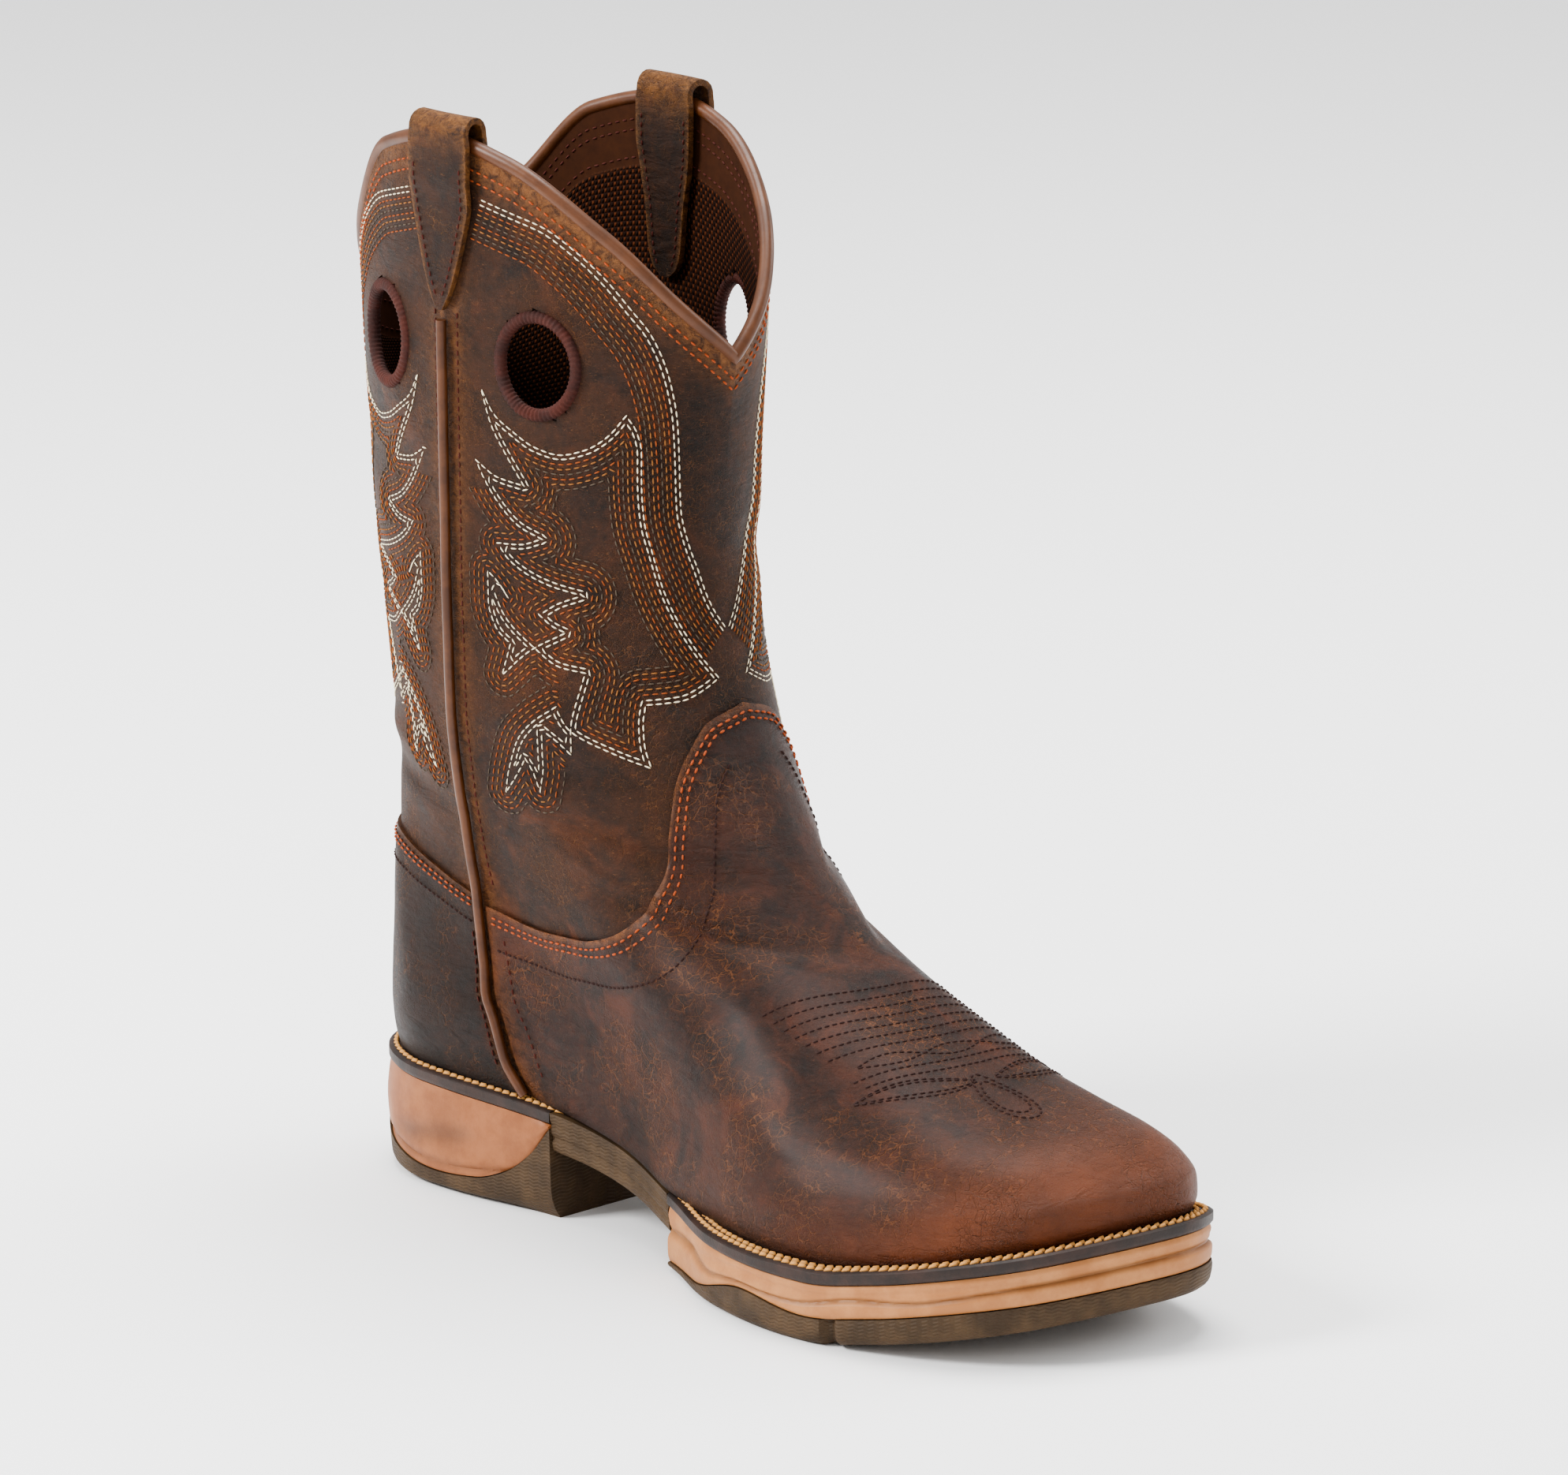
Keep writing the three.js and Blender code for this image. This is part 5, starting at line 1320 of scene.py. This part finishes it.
@dataclass
class Overlays:
    """Vamp and counter over the upper, with their stitched edges."""

    surface: Surface

    def turn_at(self, p: Array, height: Array, front: bool) -> Array:
        """Turn of a place across a panel, from -1 at one seam to 1 at the other."""
        form = self.surface.form
        sign = np.where(p < 0, -1, 1) if front else np.where(p < 0, 1, -1)
        seam = form.seam_share(sign, height)
        margin = form.sizes.seam_margin / form.sizes.sole_length
        if front:
            return form.turn(sign, (seam + margin) + (1 - seam - margin) * (1 - np.abs(p)))
        return form.turn(sign, (seam - margin) * np.abs(p))

    def panel(self, name: str, front: bool, columns: int, rows: int) -> bpy.types.Object:
        """Lay one overlay.

        Args:
            name: the piece's name.
            front: the vamp, or else the counter.
            columns: faces across.
            rows: faces up.

        Returns:
            The piece, without its materials.
        """
        form = self.surface.form
        sizes = form.sizes
        table, peak = form.counter_edge, sizes.counter_peak
        if front:
            table, peak = form.vamp_edge, sizes.vamp_peak

        def place(u: Array, v: Array) -> Array:
            """Point of the outer face of the overlay."""
            p = 2 * u - 1
            edge = peak * table(1 - np.abs(p) if front else np.abs(p))
            top = form.ring_at(self.turn_at(p, edge, front), edge)
            ring = top * v
            turn = self.turn_at(p, np.full(len(p), 60.0), front)
            for _ in range(5):
                turn = self.turn_at(p, form.point(turn, ring)[..., 2], front)
            rim = np.minimum(np.minimum(1 - v, v + 1) * rows / 2.0, (1 - np.abs(p)) * columns / 4.0)
            round_edge = sizes.overlay * (1 - 0.45 * np.exp(-rim * 1.2))
            points, _ = self.surface.on(turn, ring, sizes.gap + round_edge)
            level = form.welt_top(points[:, 0]) + sizes.seat_gap
            points[:, 2] = np.where(v <= 0, level, np.maximum(points[:, 2], level))
            return points

        piece = sheet_piece(name, columns, rows, place)
        count = (columns + 1) * (rows + 1)
        u = np.tile(np.linspace(0, 1, columns + 1), rows + 1)
        v = np.repeat(np.linspace(0, 1, rows + 1), columns + 1)
        coords = np.empty(count * 3)
        piece.data.vertices.foreach_get("co", coords)
        points = coords.reshape(-1, 3) / MM - HEEL_BACK
        edge = peak * table(1 - np.abs(2 * u - 1) if front else np.abs(2 * u - 1))
        close = np.exp(-((edge - points[:, 2]) / 1.4) ** 2)
        ends = np.exp(-((1 - np.abs(2 * u - 1)) * 60 / 1.5) ** 2)
        put_field(piece, "rub", np.maximum(close, ends * 0.6) * (v > 0.02))
        x, y, z = points.T
        above = z - form.welt_top(x)
        if front:
            toe = smooth(x, 238, 292) * (1 - 0.75 * smooth(above, 20, 38)) * 0.9
            side = (1 - smooth(above, 4, 24)) * smooth(x, 190, 268) * 0.6
            put_field(piece, "burnish", np.clip(toe + side, 0, 1) * (above > 0.5))
            # Darker patch low on the front of the toe; with the welt joint and the loop patch it is summed
            # into the shade field.
            toe_front_dark = np.exp(-((x - 288) / 7.5) ** 2 - ((y - 8) / 20) ** 2 - ((above - 11) / 5) ** 2) * 1.1
            groove = np.exp(-(above / 3.0) ** 2) * 0.8
            loop = np.exp(-((x - 248) / 9) ** 2 - ((y - 16) / 22) ** 2) * 0.45
            put_field(piece, "shade", np.clip(toe_front_dark + groove + loop, 0, 1))
        else:
            put_field(piece, "shade", np.clip(np.exp(-(above / 3.0) ** 2) * 0.8, 0, 1))
        close_and_face_out(piece)
        return piece

    def build(self, finishes: Finishes) -> None:
        """Make both overlays."""
        sizes = self.surface.form.sizes
        for name, front, columns, rows, material, slot, node in (
                ("vamp_panel", True, 260, 130, finishes.vamp, "vamp_leather", "vamp"),
                ("heel_panel", False, 150, 60, finishes.counter, "counter_leather", "counter")):
            piece = self.panel(name, front, columns, rows)
            apply_modifier(piece, "SOLIDIFY", thickness=sizes.overlay * MM, offset=-1.0)
            shade(piece, 0.9)
            dress(piece, [material], slot, [node])

    def edge_line(self, side: Side, front: bool) -> Array:
        """The overlay's edge on the chart of one quarter, starting at the seam."""
        form = self.surface.form
        share = np.linspace(0.035, 0.995, 220)
        if front:
            return np.stack([CHART * share, form.sizes.vamp_peak * form.vamp_edge(share)], axis=1)
        return np.stack([-CHART * share, form.sizes.counter_peak * form.counter_edge(1 - share)], axis=1)

    def sew(self, finishes: Finishes) -> None:
        """Stitch the edges, and the ornament over the toes."""
        out = self.surface.form.sizes.gap + self.surface.form.sizes.overlay + 0.05
        rust = Stitching("overlay_stitches", Thread.BRICK, 2.9, 2.3, 0.36)
        maroon = Stitching("toe_stitches", Thread.DARK, 2.3, 2.2, 0.36)
        for side in Side:
            for distance in (2.4, 4.3):
                line = shifted(self.edge_line(side, True), -distance)
                line = line[(line[:, 0] > 2.5) & (line[:, 0] < 95)]
                rust.row(*self.surface.chart(side, line[:, 0], line[:, 1], out))
                line = shifted(self.edge_line(side, False), distance)
                line = line[(line[:, 0] < -2.5) & (line[:, 0] > -94.9)]
                rust.row(*self.surface.chart(side, line[:, 0], line[:, 1], out))
            line = shifted(self.edge_line(side, True), -12.0)
            line = line[(line[:, 0] > 3) & (line[:, 0] < 94.9) & (line[:, 1] < 146)]
            maroon.row(*self.surface.chart(side, line[:, 0], line[:, 1], out))
            line = shifted(self.edge_line(side, False), 9.5)
            line = line[(line[:, 0] < -3) & (line[:, 0] > -94.9)]
            maroon.row(*self.surface.chart(side, line[:, 0], line[:, 1], out))
        self.toe_ornament(maroon, out)
        rust.build(finishes, "vamp_leather")
        maroon.build(finishes, "vamp_leather")

    def toe_ornament(self, rows: Stitching, out: float) -> None:
        """Lines, lens row, leaves and loop across the vamp.

        Args:
            rows: the stitching that they are sewn with.
            out: distance out of the upper's face.
        """
        def sew(along: Array, across: Array) -> None:
            """Sew a line given on the ornament's own axes, with its middle on the foot's ridge."""
            x = along + across * 0.18 - 0.0065 * across ** 2
            rows.row(*self.surface.over(x, across + 7.0, out))
        across = np.linspace(-36, 33, 60)
        for k in range(7):
            sew(np.full(60, 196.0 + 4.0 * k), across * (1 - 0.01 * k))
        t = np.linspace(0, 1, 60)
        for phase in (-1, 1):
            sew(226.0 + phase * 2.2 * np.abs(np.sin(t * np.pi * 3)), -30 + 56 * t)
        for k in range(2):
            sew(np.full(60, 230.5 + 3.4 * k), across * (0.94 - 0.03 * k))
        for side in (-1, 1):
            for lift in (0.0, 1.9):
                leaf = np.sin(np.pi * t) ** 0.8 * (5.4 - lift)
                sew(241.0 + leaf * 0.9 - 3.0 * t, side * (3 + 32 * t) - 3)
                sew(241.0 - leaf * 0.6 - 3.0 * t, side * (3 + 32 * t) - 3)
        for size in (1.0, 0.72):
            turn = 2 * np.pi * t
            loop = 7.5 * size * np.sin(turn) * (0.75 - 0.25 * np.cos(turn))
            sew(251.0 - 12.5 * size * np.cos(turn), loop - 5)


@dataclass
class Trimming:
    """Plain stitch rows on the shaft: under the collar, along the seams and inside."""

    surface: Surface
    facing: float = 17.0

    def build(self, finishes: Finishes) -> None:
        """Sew them all."""
        form = self.surface.form
        rust = Stitching("collar_stitches", Thread.BRICK, 2.9, 2.3, 0.32)
        dark = Stitching("seam_stitches", Thread.MAROON, 2.8, 2.2, 0.34)
        turn = np.linspace(0, 2, 700)
        top = form.point(turn, np.full(700, LAST_RING))
        inside = Stitching("lining_stitches", Thread.MAROON, 2.9, 2.3, 0.32)
        for distance in (4.2, 6.8):
            height = top[:, 2] - distance * 1.25
            rust.row(*self.surface.on(turn, form.ring_at(turn, height), SEWN))
            inner = form.offset(turn, form.ring_at(turn, height), -form.sizes.wall - SEWN)
            inside.row(inner, -form.normal(turn, np.full(700, LAST_RING)))
        ring = form.ring_at(turn, top[:, 2] - self.facing)
        inside.row(form.offset(turn, ring, -form.sizes.wall - SEWN), -form.normal(turn, ring))
        for side in Side:
            for shift in (-4.0, 4.0):
                height = np.linspace(99.0 if shift > 0 else 112.0, 276.0, 160)
                dark.row(*self.surface.chart(side, np.full(160, shift), height, SEWN))
                low = np.linspace(44.0, 84.0, 50)
                dark.row(*self.surface.chart(side, np.full(50, shift * 1.35), low, form.sizes.overlay + 0.35))
        rust.build(finishes, "shaft_leather")
        inside.build(finishes, "shaft_leather")
        dark.build(finishes, "shaft_leather")


@dataclass
class PullStraps:
    """Straps folded over the collar at each side seam."""

    surface: Surface
    thickness: float = 2.0

    def build(self, finishes: Finishes) -> None:
        """Make both straps with their stitched edges."""
        form = self.surface.form
        sizes = form.sizes
        sewn = Stitching("strap_stitches", Thread.MAROON, 2.7, 2.1, 0.36)
        for side in Side:
            centre = float(form.turn(side.value, 0.5))
            ends = [form.point(centre + shift, LAST_RING) for shift in (0.01, -0.01)]
            step = np.linalg.norm(ends[0] - ends[1]) / 0.02
            top = form.point(centre, LAST_RING)
            rest, away, radius = 0.5, 1.7, 2.9
            path = [(rest, -50, 0.10), (rest, -45, 0.34), (rest, -38, 0.56), (rest, -25, 0.86),
                    (rest + 0.2, -18, 0.98), (away, -10, 1.0), (away, 0, 1.0)]
            path += [(radius * np.cos(a) - 1.2, 3.8 + radius * np.sin(a), 0.96)
                     for a in np.linspace(0, np.pi, 9)]
            path += [(-2.4 - away, 0, 1.0), (-2.4 - away, -10, 1.0), (-3.6, -20, 0.9), (-3.6, -32, 0.72),
                     (-3.6, -44, 0.62), (-3.6, -50, 0.46), (-3.6, -53, 0.16)]
            knots = np.array(path, float)
            run = np.concatenate([[0.0], np.cumsum(np.linalg.norm(np.diff(knots[:, :2], axis=0), axis=1))])
            tables = [SmoothTable(list(zip(run.tolist(), knots[:, k].tolist()))) for k in range(3)]

            def at(u: Array, s: Array, lift: float = 0.0) -> Array:
                """Point of the strap's outer face."""
                out, up, half = (table(s) for table in tables)
                ahead = [tables[k](np.minimum(s + 0.4, run[-1])) - tables[k](np.maximum(s - 0.4, 0))
                         for k in (0, 1)]
                length = np.maximum(np.hypot(*ahead), 1e-6)
                out = out + ahead[1] / length * lift
                up = up - ahead[0] / length * lift
                across = u * half * sizes.strap_width / 2
                turn = centre + across / step * (1 if side is Side.LATERAL else -1)
                high = form.point(turn, LAST_RING)
                flat = form.normal(turn, LAST_RING)
                flat[..., 2] = 0
                flat /= np.linalg.norm(flat, axis=-1, keepdims=True)
                high = high + flat * out[..., None]
                high[..., 2] = top[2] + up
                ring = form.ring_at(turn, np.minimum(top[2] + up, top[2] - 0.5))
                low = form.offset(turn, ring, out)
                share = smooth(up, -8.0, 0.0)[..., None]
                return low * (1 - share) + high * share

            piece = sheet_piece("strap_" + side.name.lower(), 16, 110,
                                lambda u, v: at(2 * u - 1, v * run[-1], self.thickness))
            shares_u = np.abs(np.tile(np.linspace(-1, 1, 17), 111))
            shares_s = np.repeat(np.linspace(0, run[-1], 111), 17)
            fold = np.exp(-((shares_s - 59.5) / 8.0) ** 2)
            put_field(piece, "rub", np.maximum(fold * 0.9, np.exp(-((1 - shares_u) / 0.12) ** 2) * 0.8))
            close_and_face_out(piece)
            apply_modifier(piece, "SOLIDIFY", thickness=self.thickness * MM, offset=-1.0)
            apply_modifier(piece, "BEVEL", width=0.0005, segments=2, limit_method="ANGLE", angle_limit=0.9)
            shade(piece, 0.9)
            dress(piece, [finishes.strap], "strap_leather", ["pull_strap_" + side.name.lower()])
            for edge in (-1, 1):
                for low, high in ((4.0, 44.0), (70.0, run[-1] - 3.0)):
                    s = np.linspace(low, high, 60)
                    inset = edge * (1 - 2.6 / np.maximum(tables[2](s) * sizes.strap_width / 2, 3.0))
                    route = at(inset, s, self.thickness + 0.1)
                    outwards = at(inset, s, self.thickness + 1.1) - route
                    sewn.row(route, outwards / np.linalg.norm(outwards, axis=1)[:, None])
        sewn.build(finishes, "strap_leather")


class Plates:
    """Layers of the sole, each from inset outlines with their own heights."""

    def __init__(self, form: UpperForm) -> None:
        """Keep the form and its profile tables."""
        self.form = form
        self.length = form.sizes.sole_length
        self.ground = SmoothTable(GROUND)
        self.split = SmoothTable(SPLIT)
        self.cup = SmoothTable(HEEL_CUP)

    def seat(self, x: Array) -> Array:
        """Underside of the welt."""
        return self.form.seat(x / self.length)

    def cup_at(self, x: Array) -> Array:
        """Top of the heel base."""
        return self.cup(x / self.form.sizes.heel_length) * self.seat(x)

    def plate(self, name: str, levels: Levels, start: float, end: float,
              stations: int = 150) -> bpy.types.Object:
        """Build one layer between two places along the sole.

        Args:
            name: the piece's name.
            levels: from the bottom, pairs of inset by place and side, and height by place.
            start: where it begins along X.
            end: where it ends.
            stations: steps along it.

        Returns:
            The piece.
        """
        outline = self.form.outline
        loops = []
        for inset, height in levels:
            line = outline.line
            reach = np.where(line[:, 1] < 0, inset(line[:, 0], -1), inset(line[:, 0], 1))
            moved = outline.inset(reach)
            heel, toe = moved[:, 0].argmin(), moved[:, 0].argmax()
            turned = np.roll(moved, -heel, axis=0)
            tip = (toe - heel) % len(moved)
            outer, inner = turned[:tip + 1], np.concatenate([turned[tip:], turned[:1]])[::-1]
            low, high = max(start, moved[heel, 0]), min(end, moved[toe, 0])
            open_end = high >= moved[toe, 0] - 1e-9
            open_start = low <= moved[heel, 0] + 1e-9
            t = np.linspace(0, 1, stations)
            if open_end and open_start:
                t = (1 - np.cos(np.pi * t)) / 2
            elif open_end:
                t = np.sin(np.pi * t / 2)
            elif open_start:
                t = 1 - np.cos(np.pi * t / 2)
            x = low + (high - low) * t
            sides = []
            for half in (outer, inner):
                order = np.maximum.accumulate(half[:, 0] + np.arange(len(half)) * 1e-7)
                sides.append(np.interp(x, order, half[:, 1]))
            z = height(x)
            a = np.stack([x, sides[0], z], axis=1)
            b = np.stack([x, sides[1], z], axis=1)
            loops.append(np.concatenate([a, b[::-1]]))
        size = 2 * stations
        faces = []
        for row in range(len(loops) - 1):
            for i in range(size):
                j = (i + 1) % size
                faces.append((row * size + i, row * size + j, (row + 1) * size + j, (row + 1) * size + i))
        top = (len(loops) - 1) * size
        for i in range(stations - 1):
            faces.append((i, size - 1 - i, size - 2 - i, i + 1))
            faces.append((top + i, top + i + 1, top + size - 2 - i, top + size - 1 - i))
        piece = from_arrays(name, np.concatenate(loops), faces)
        close_and_face_out(piece, 5e-6)
        shade(piece, 0.75)
        return piece


@dataclass
class Sole:
    """Outsole, midsole, heel and welt, with their moulded lines."""

    plates: Plates

    def levels(self, low: Height, high: Height, profile: Profile,
               carve: Callable[[Array, Array, int], Array] | None = None, steps: int = 12) -> Levels:
        """Levels of a side wall.

        Args:
            low: bottom height by place.
            high: top height by place.
            profile: inset by share of the height.
            carve: extra inset by place, height and side.
            steps: how many levels to make.

        Returns:
            The levels for a plate.
        """
        table = SmoothTable(profile)
        made = []
        for share in np.linspace(0, 1, steps):
            def height(x: Array, share: float = share) -> Array:
                """Height of this level."""
                return low(x) + (high(x) - low(x)) * share

            def inset(x: Array, side: int, share: float = share) -> Array:
                """Inset of this level."""
                extra = carve(x, low(x) + (high(x) - low(x)) * share, side) if carve else 0.0
                return table(np.array(share)) + extra + np.zeros(np.shape(x))
            made.append((inset, height))
        return made

    def build(self, finishes: Finishes) -> None:
        """Make every layer."""
        p = self.plates
        sizes = p.form.sizes
        length = sizes.sole_length
        start = sizes.forefoot_start
        toe = length + 1.0

        def split(x: Array) -> Array:
            """Top of the forefoot outsole."""
            return p.split(x / length)

        def ground(x: Array) -> Array:
            """Underside of the forefoot sole."""
            return p.ground(x / length)

        def wave(x: Array, z: Array, side: int) -> Array:
            """Moulded groove that swings along the tan midsole."""
            share = (z - split(x)) / np.maximum(p.seat(x) - split(x), 1.0)
            line = SmoothTable(((150, 0.55), (168, 0.62), (188, 0.30), (206, 0.22), (222, 0.34), (243, 0.55),
                                (266, 0.40), (290, 0.52), (308, 0.55)))(x)
            return 1.0 * np.exp(-((share - line) / 0.07) ** 2)

        def notch(x: Array, z: Array, side: int) -> Array:
            """Cut at the ball and a wavy line on the hill behind it."""
            cut = 2.6 * np.exp(-((x - length * NOTCH) / 1.6) ** 4)
            line = 5.0 + 2.0 * np.sin((x - 160) / 9.0)
            return cut + 0.35 * np.exp(-((z - line) / 0.6) ** 2) * (x < 222)

        tread = p.plate("forefoot_tread_rubber", self.levels(
            ground, split, ((0, 3.0), (0.12, 1.6), (0.3, 0.8), (0.8, 0.25), (1.0, 0.5)), notch, 12),
            start, toe)
        self.shade_by(tread, lambda x, y, z: np.exp(-((x - length * NOTCH) / 2.0) ** 2) * 0.6)
        dress(tread, [finishes.outsole], "outsole", ["outsole_forefoot"])
        middle = p.plate("forefoot_midsole_tan", self.levels(
            lambda x: split(x) + sizes.gap, lambda x: p.seat(x) - sizes.gap,
            ((0, 1.0), (0.12, 0.45), (0.35, 0.3), (0.7, 1.1), (0.85, 0.7), (1.0, 1.2)), wave, 22),
            start, toe, 190)
        self.shade_by(middle, lambda x, y, z: wave(x, z, 0) * 0.55)
        dress(middle, [finishes.midsole], "midsole", ["midsole_forefoot"])

        def fin(x: Array, z: Array, side: int) -> Array:
            """Sunk fin and groove on the tan heel."""
            centre = 17.0 + (x - 40) * 0.16
            body = smooth(x, 14, 30) * (1 - smooth(x, 52, 66))
            return 1.1 * np.exp(-((z - centre) / (1.0 + 2.6 * body)) ** 2) * body + 0.8 * np.exp(
                -((z - 9.0 - ((x - 46) / 17.0) ** 2) / 0.8) ** 2)

        heel_end = sizes.heel_length
        tan = p.plate("heel_midsole_tan", self.levels(
            lambda x: p.cup_at(x) + sizes.gap, lambda x: p.seat(x) - sizes.gap,
            ((0, 0.6), (0.15, 0.0), (0.45, -0.4), (0.8, 0.2), (1.0, 0.9)), fin, 22), -3.0, heel_end, 110)
        self.shade_by(tan, lambda x, y, z: fin(x, z, 0) * 0.45)
        dress(tan, [finishes.heel_tan], "midsole", ["midsole_heel"])
        base = p.plate("heel_base_rubber", self.levels(
            lambda x: np.zeros(np.shape(x)), p.cup_at,
            ((0, 4.5), (0.1, 2.6), (0.3, 0.8), (1.0, 0.1)), None, 10),
            -3.0, heel_end, 110)
        dress(base, [finishes.outsole], "outsole", ["outsole_heel"])

        def ribs(x: Array, z: Array, side: int) -> Array:
            """Long grooves of the shank."""
            above = (z - (p.seat(x) + 4.0 - sizes.shank_thickness)) / sizes.shank_thickness
            return 0.8 * np.exp(-((above - 0.45) / 0.06) ** 2) + 0.6 * np.exp(-((above - 0.72) / 0.05) ** 2)

        shank = p.plate("shank_rubber", self.levels(
            lambda x: p.seat(x) + 4.0 - sizes.shank_thickness, lambda x: p.seat(x) + 4.0 - 0.3,
            ((0, 7.0), (0.2, 1.4), (0.7, 0.5), (1.0, 0.1)), ribs, 18), heel_end + 0.2, start - sizes.gap, 60)
        dress(shank, [finishes.outsole], "outsole")
        rope = Stitching("welt_rope", Thread.TAN, 3.1, 3.6, 0.78, 0.32)
        for name, low, high, node in (("welt_front_strip", start, toe, "welt_forefoot"),
                                      ("welt_back_strip", -3.0, heel_end, "welt_heel")):
            strip = p.plate(name, self.levels(
                p.seat, lambda x: p.seat(x) + sizes.welt_thickness,
                ((0, 0.7), (0.2, 0.1), (0.8, 0.1), (1.0, 0.9)), None, 7), low, high, 150)
            dress(strip, [finishes.welt], "welt", [node])
            line = p.form.outline.line
            for inset in (2.5, 5.0):
                moved = p.form.outline.inset(inset)
                keep = (line[:, 0] > low + 2) & (line[:, 0] < high + 5)
                runs = ShaftStitching.runs(np.concatenate([moved, moved]), np.concatenate([keep, keep]))
                run = max(runs, key=len)[:len(line)]
                run = resample(run, 400)
                path = np.column_stack([run, p.seat(run[:, 0]) + sizes.welt_thickness + 0.25])
                rope.row(path, np.tile([0.0, 0.0, 1.0], (len(path), 1)))
        rope.build(finishes, "welt")

    @staticmethod
    def shade_by(piece: bpy.types.Object, rule: Callable[[Array, Array, Array], Array]) -> None:
        """Darken a piece by a rule of place."""
        coords = np.empty(len(piece.data.vertices) * 3)
        piece.data.vertices.foreach_get("co", coords)
        put_field(piece, "shade", rule(*(coords.reshape(-1, 3) / MM - HEEL_BACK).T))


@dataclass(frozen=True)
class Studio:
    """Pale floor, soft lights and the camera at the photograph's angle."""

    lens: float = 203.0
    place: tuple[float, float, float] = (1984.0, -1731.3, 817.0)
    look: tuple[float, float, float] = (-0.7007, 0.6650, -0.2588)

    def light(self, name: str, place: tuple[float, float, float], size: float, power: float) -> None:
        """Add a soft square light that faces the boot."""
        data = bpy.data.lights.new(name, "AREA")
        data.energy = power
        data.size = size
        lamp = bpy.data.objects.new(name, data)
        bpy.context.scene.collection.objects.link(lamp)
        lamp.location = place
        lamp.rotation_euler = (Vector((0, 0, 0.12)) - Vector(place)).to_track_quat("-Z", "Y").to_euler()

    def build(self) -> None:
        """Set the floor, the lights and the camera."""
        bpy.ops.object.select_all(action="DESELECT")
        bpy.ops.mesh.primitive_plane_add(size=12.0)
        floor = bpy.context.active_object
        floor.name = "studio_floor"
        n = Nodes("studio_floor")
        floor.data.materials.append(n.finish((0.97, 0.97, 0.97, 1.0), 0.6, None, 0.0, 0.2))
        world = bpy.data.worlds.new("studio")
        world.use_nodes = True
        world.node_tree.nodes["Background"].inputs[0].default_value = (1.0, 1.0, 1.0, 1.0)
        world.node_tree.nodes["Background"].inputs[1].default_value = 0.8
        bpy.context.scene.world = world
        bpy.context.scene.view_settings.view_transform = "AgX"
        bpy.context.scene.view_settings.look = "AgX - Medium High Contrast"
        self.light("key", (-0.9, -1.6, 1.5), 0.7, 62.0)
        self.light("front", (1.7, -1.3, 1.4), 1.2, 8.0)
        self.light("top", (-0.3, 0.3, 1.9), 1.1, 42.0)
        self.light("rim", (0.6, 1.8, 1.0), 0.9, 12.0)
        data = bpy.data.cameras.new("camera")
        data.lens = self.lens
        data.sensor_width = 36.0
        data.sensor_fit = "HORIZONTAL"
        data.shift_y = 0.03
        camera = bpy.data.objects.new("camera", data)
        bpy.context.scene.collection.objects.link(camera)
        camera.location = Vector([float(v) for v in (np.array(self.place) + HEEL_BACK) * MM])
        camera.rotation_euler = Vector(self.look).to_track_quat("-Z", "Y").to_euler()
        bpy.context.scene.camera = camera


def main() -> None:
    """Build the boot's looks piece by piece."""
    logging.basicConfig(level=logging.INFO, format="%(message)s")
    Studio().build()
    finishes = Finishes()
    surface = Surface(UpperForm(SIZES))
    shaft = Shaft(surface)
    shaft.wall(finishes)
    shaft.trims(finishes)
    overlays = Overlays(surface)
    overlays.build(finishes)
    overlays.sew(finishes)
    ShaftStitching(surface).build(finishes)
    Trimming(surface).build(finishes)
    PullStraps(surface).build(finishes)
    Sole(Plates(surface.form)).build(finishes)
    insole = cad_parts["insole"]
    insole.data.materials.clear()
    insole.data.materials.append(finishes.footbed)


if __name__ == "__main__":
    main()
